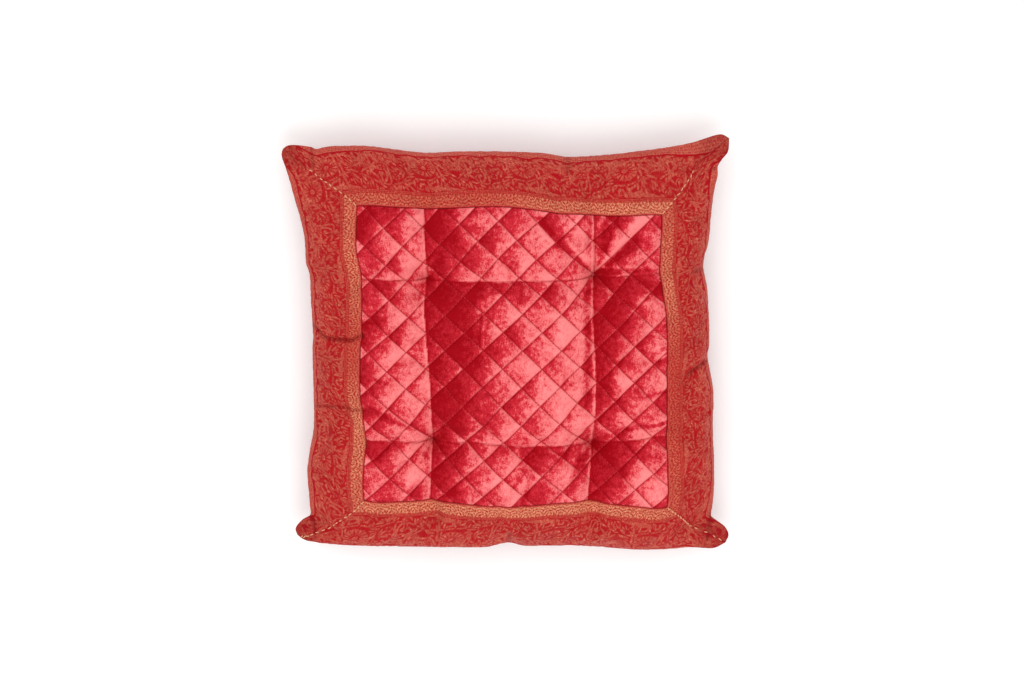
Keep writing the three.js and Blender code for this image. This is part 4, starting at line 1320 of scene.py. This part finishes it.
class CUSHION_OT_sewing(bpy.types.Operator):
    """Sew the mitres, the panel's edge and the quilting lines"""
    bl_idname = "cushion.sewing"
    bl_label = "Sewing"

    def row(self, name, template, material, slot, s, t, surface):
        """Stitches between pairs of cover points that follow one another."""
        middle_s, middle_t = s.mean(axis=1), t.mean(axis=1)
        start, end = surface(s[:, 0], t[:, 0]), surface(s[:, 1], t[:, 1])
        places = surface(middle_s, middle_t)
        step, lift = 0.004, 0.12
        ups = np.cross(surface(middle_s + step, middle_t) - places,
                       surface(middle_s, middle_t + step) - places)
        ups /= np.linalg.norm(ups, axis=-1, keepdims=True)
        piece = stitched(name, template, (start + end) / 2 + lift * ups, end - start, ups)
        hand_over(piece, material, slot)

    def execute(self, context):
        cover = filled_cover(context)
        sizes, colours = context.scene.cushion_sizes, context.scene.cushion_colours
        gold = thread_material("Gold Thread", colours.gold_thread, 0.3)
        red = thread_material("Crimson Thread", tuple(
            0.85 * part for part in colours.velvet_mid), 0.0)
        edge_red = thread_material("Red Thread", colours.velvet_mid, 0.0)

        def over_ribbon(s, t):
            return cover.face(s, t) + (GAP + sizes.ribbon / MM) * cover.outwards(s, t)

        def over_velvet(s, t):
            return cover.velvet_face(s, t, GAP + sizes.velvet / MM)

        # Slanted stitches over the mitres, from the panel's corners to the ears. They stop
        # sooner at the upper ears.
        pitch, reach, upper_end = 0.0195, 0.013, 0.88
        starts = np.arange(cover.edge + 0.006, 0.97, pitch)
        pairs_s, pairs_t = [], []
        hand = np.random.default_rng(8)
        for x, y in ((1, 1), (1, -1), (-1, 1), (-1, -1)):
            for q, off, drift in zip(starts, *hand.uniform(-0.0022, 0.0022, (2, len(starts)))):
                if y > 0 and q > upper_end:
                    continue
                q = q + drift
                pairs_s.append((x * (q - off), x * (q + reach + off)))
                pairs_t.append((y * (q + off), y * (q + reach - off)))
        pairs_s, pairs_t = np.array(pairs_s), np.array(pairs_t)
        self.row("mitre_stitches", one_stitch(0.0042, 0.001), gold, "brocade",
                 pairs_s, cover.slid(pairs_s, pairs_t), over_ribbon)

        # Running stitches round the panel, just outside its edge.
        pitch, reach, outside = 0.0135, 0.009, 0.0045
        q = np.arange(-cover.edge, cover.edge - 0.01, pitch)
        ring = np.full((len(q), 2), cover.edge + outside)
        pairs = np.stack([q, q + reach], -1)
        s = np.concatenate([pairs, pairs, ring, -ring])
        t = np.concatenate([ring, -ring, pairs, pairs])
        self.row("panel_edge_stitches", one_stitch(0.0019, 0.0006), edge_red, "velvet", s, t,
                 over_ribbon)

        # Running stitches along every quilting line, in millimetres.
        pairs_s, pairs_t = [], []
        pitch, reach = 3.4, 2.3
        length = math.hypot(DIAMOND_WIDE, DIAMOND_HIGH)
        du, dv = DIAMOND_WIDE / length, DIAMOND_HIGH / length
        limit = cover.edge * cover.half - 1.2
        for slope in (1, -1):
            for line in range(-16, 17):
                run = np.arange(-130, 130)[:, None] * pitch + (0, reach)
                u = CROSSING[0] + line * DIAMOND_WIDE + run * du
                v = CROSSING[1] + slope * run * dv
                u, v = np.moveaxis(np.stack([u, v], -1) + crooked(u, v), -1, 0)
                keep = (np.maximum(abs(u), abs(v)) < limit).all(axis=1)
                pairs_s.append(u[keep] / cover.half)
                pairs_t.append(v[keep] / cover.half)
        self.row("quilting_stitches", one_stitch(0.0023, 0.0005), red, "velvet",
                 np.concatenate(pairs_s), np.concatenate(pairs_t), over_velvet)
        return {"FINISHED"}


class CUSHION_OT_stage(bpy.types.Operator):
    """Set the floor, the lights and the camera"""
    bl_idname = "cushion.stage"
    bl_label = "Stage"

    def execute(self, context):
        bpy.ops.object.select_all(action="DESELECT")
        bpy.ops.mesh.primitive_plane_add(size=8, location=(0, 0, -0.0004))
        floor = context.active_object
        floor.name = "floor"
        bpy.ops.object.transform_apply(location=True)
        material = bpy.data.materials.new("Pale Floor")
        material.use_nodes = True
        shader = material.node_tree.nodes["Principled BSDF"]
        nodes = Nodes(material.node_tree)
        place = nodes.add("ShaderNodeTexCoord").outputs["Object"]
        nodes.fill(shader, {
            "Base Color": nodes.ramp(nodes.noise(place, 6.0, 3.0), [
                (0.3, (0.93, 0.93, 0.92)), (0.7, (0.95, 0.95, 0.945))]),
            "Roughness": 0.9, "Emission Color": (1, 1, 1), "Emission Strength": 0.12})
        floor.data.materials.append(material)

        # The lights: where each stands, its side and its power in watts.
        for name, place, size, power in (
                ("key", (0.5, -1.3, 2.3), 2.2, 22), ("fill", (-0.8, 1.3, 2.3), 2.2, 15)):
            bpy.ops.object.light_add(type="AREA", location=place)
            light = context.active_object
            light.name = name
            light.data.size = size
            light.data.energy = power
            light.rotation_euler = Vector(place).to_track_quat("Z", "Y").to_euler()

        world = bpy.data.worlds.new("Studio")
        context.scene.world = world
        world.use_nodes = True
        Nodes(world.node_tree).fill(world.node_tree.nodes["Background"], {
            "Color": (1, 1, 1), "Strength": 0.82})

        tilt = math.radians(VIEW_TILT)
        place = Vector(VIEW_MIDDLE) + VIEW_FAR * Vector((0, math.sin(tilt), math.cos(tilt)))
        bpy.ops.object.camera_add(location=place, rotation=(-tilt, 0, 0))
        camera = context.active_object
        camera.data.lens = camera.data.sensor_width * VIEW_FAR / VIEW_WIDE
        camera.data.clip_end = 20
        context.scene.camera = camera
        context.scene.view_settings.view_transform = "Standard"
        return {"FINISHED"}


OPERATORS = (CUSHION_OT_back, CUSHION_OT_panel, CUSHION_OT_ribbons, CUSHION_OT_sewing,
             CUSHION_OT_stage)


class CUSHION_PT_panel(bpy.types.Panel):
    """Lists the cushion's sizes, colours and pieces"""
    bl_label = "Quilted Cushion"
    bl_space_type = "VIEW_3D"
    bl_region_type = "UI"
    bl_category = "Cushion"

    def draw(self, context):
        for settings in (context.scene.cushion_sizes, context.scene.cushion_colours):
            box = self.layout.box()
            for name in settings.__annotations__:
                box.prop(settings, name)
        for operator in OPERATORS:
            self.layout.operator(operator.bl_idname)


CLASSES = (CushionSizes, CushionColours, *OPERATORS, CUSHION_PT_panel)


def register():
    for cls in CLASSES:
        bpy.utils.register_class(cls)
    bpy.types.Scene.cushion_sizes = PointerProperty(type=CushionSizes)
    bpy.types.Scene.cushion_colours = PointerProperty(type=CushionColours)


def unregister():
    del bpy.types.Scene.cushion_colours
    del bpy.types.Scene.cushion_sizes
    for cls in reversed(CLASSES):
        bpy.utils.unregister_class(cls)


def main():
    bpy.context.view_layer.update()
    register()
    bpy.ops.object.select_all(action="DESELECT")
    bpy.ops.cushion.back()
    bpy.ops.cushion.panel()
    bpy.ops.cushion.ribbons()
    bpy.ops.cushion.sewing()
    bpy.ops.cushion.stage()


if __name__ == "__main__":
    main()
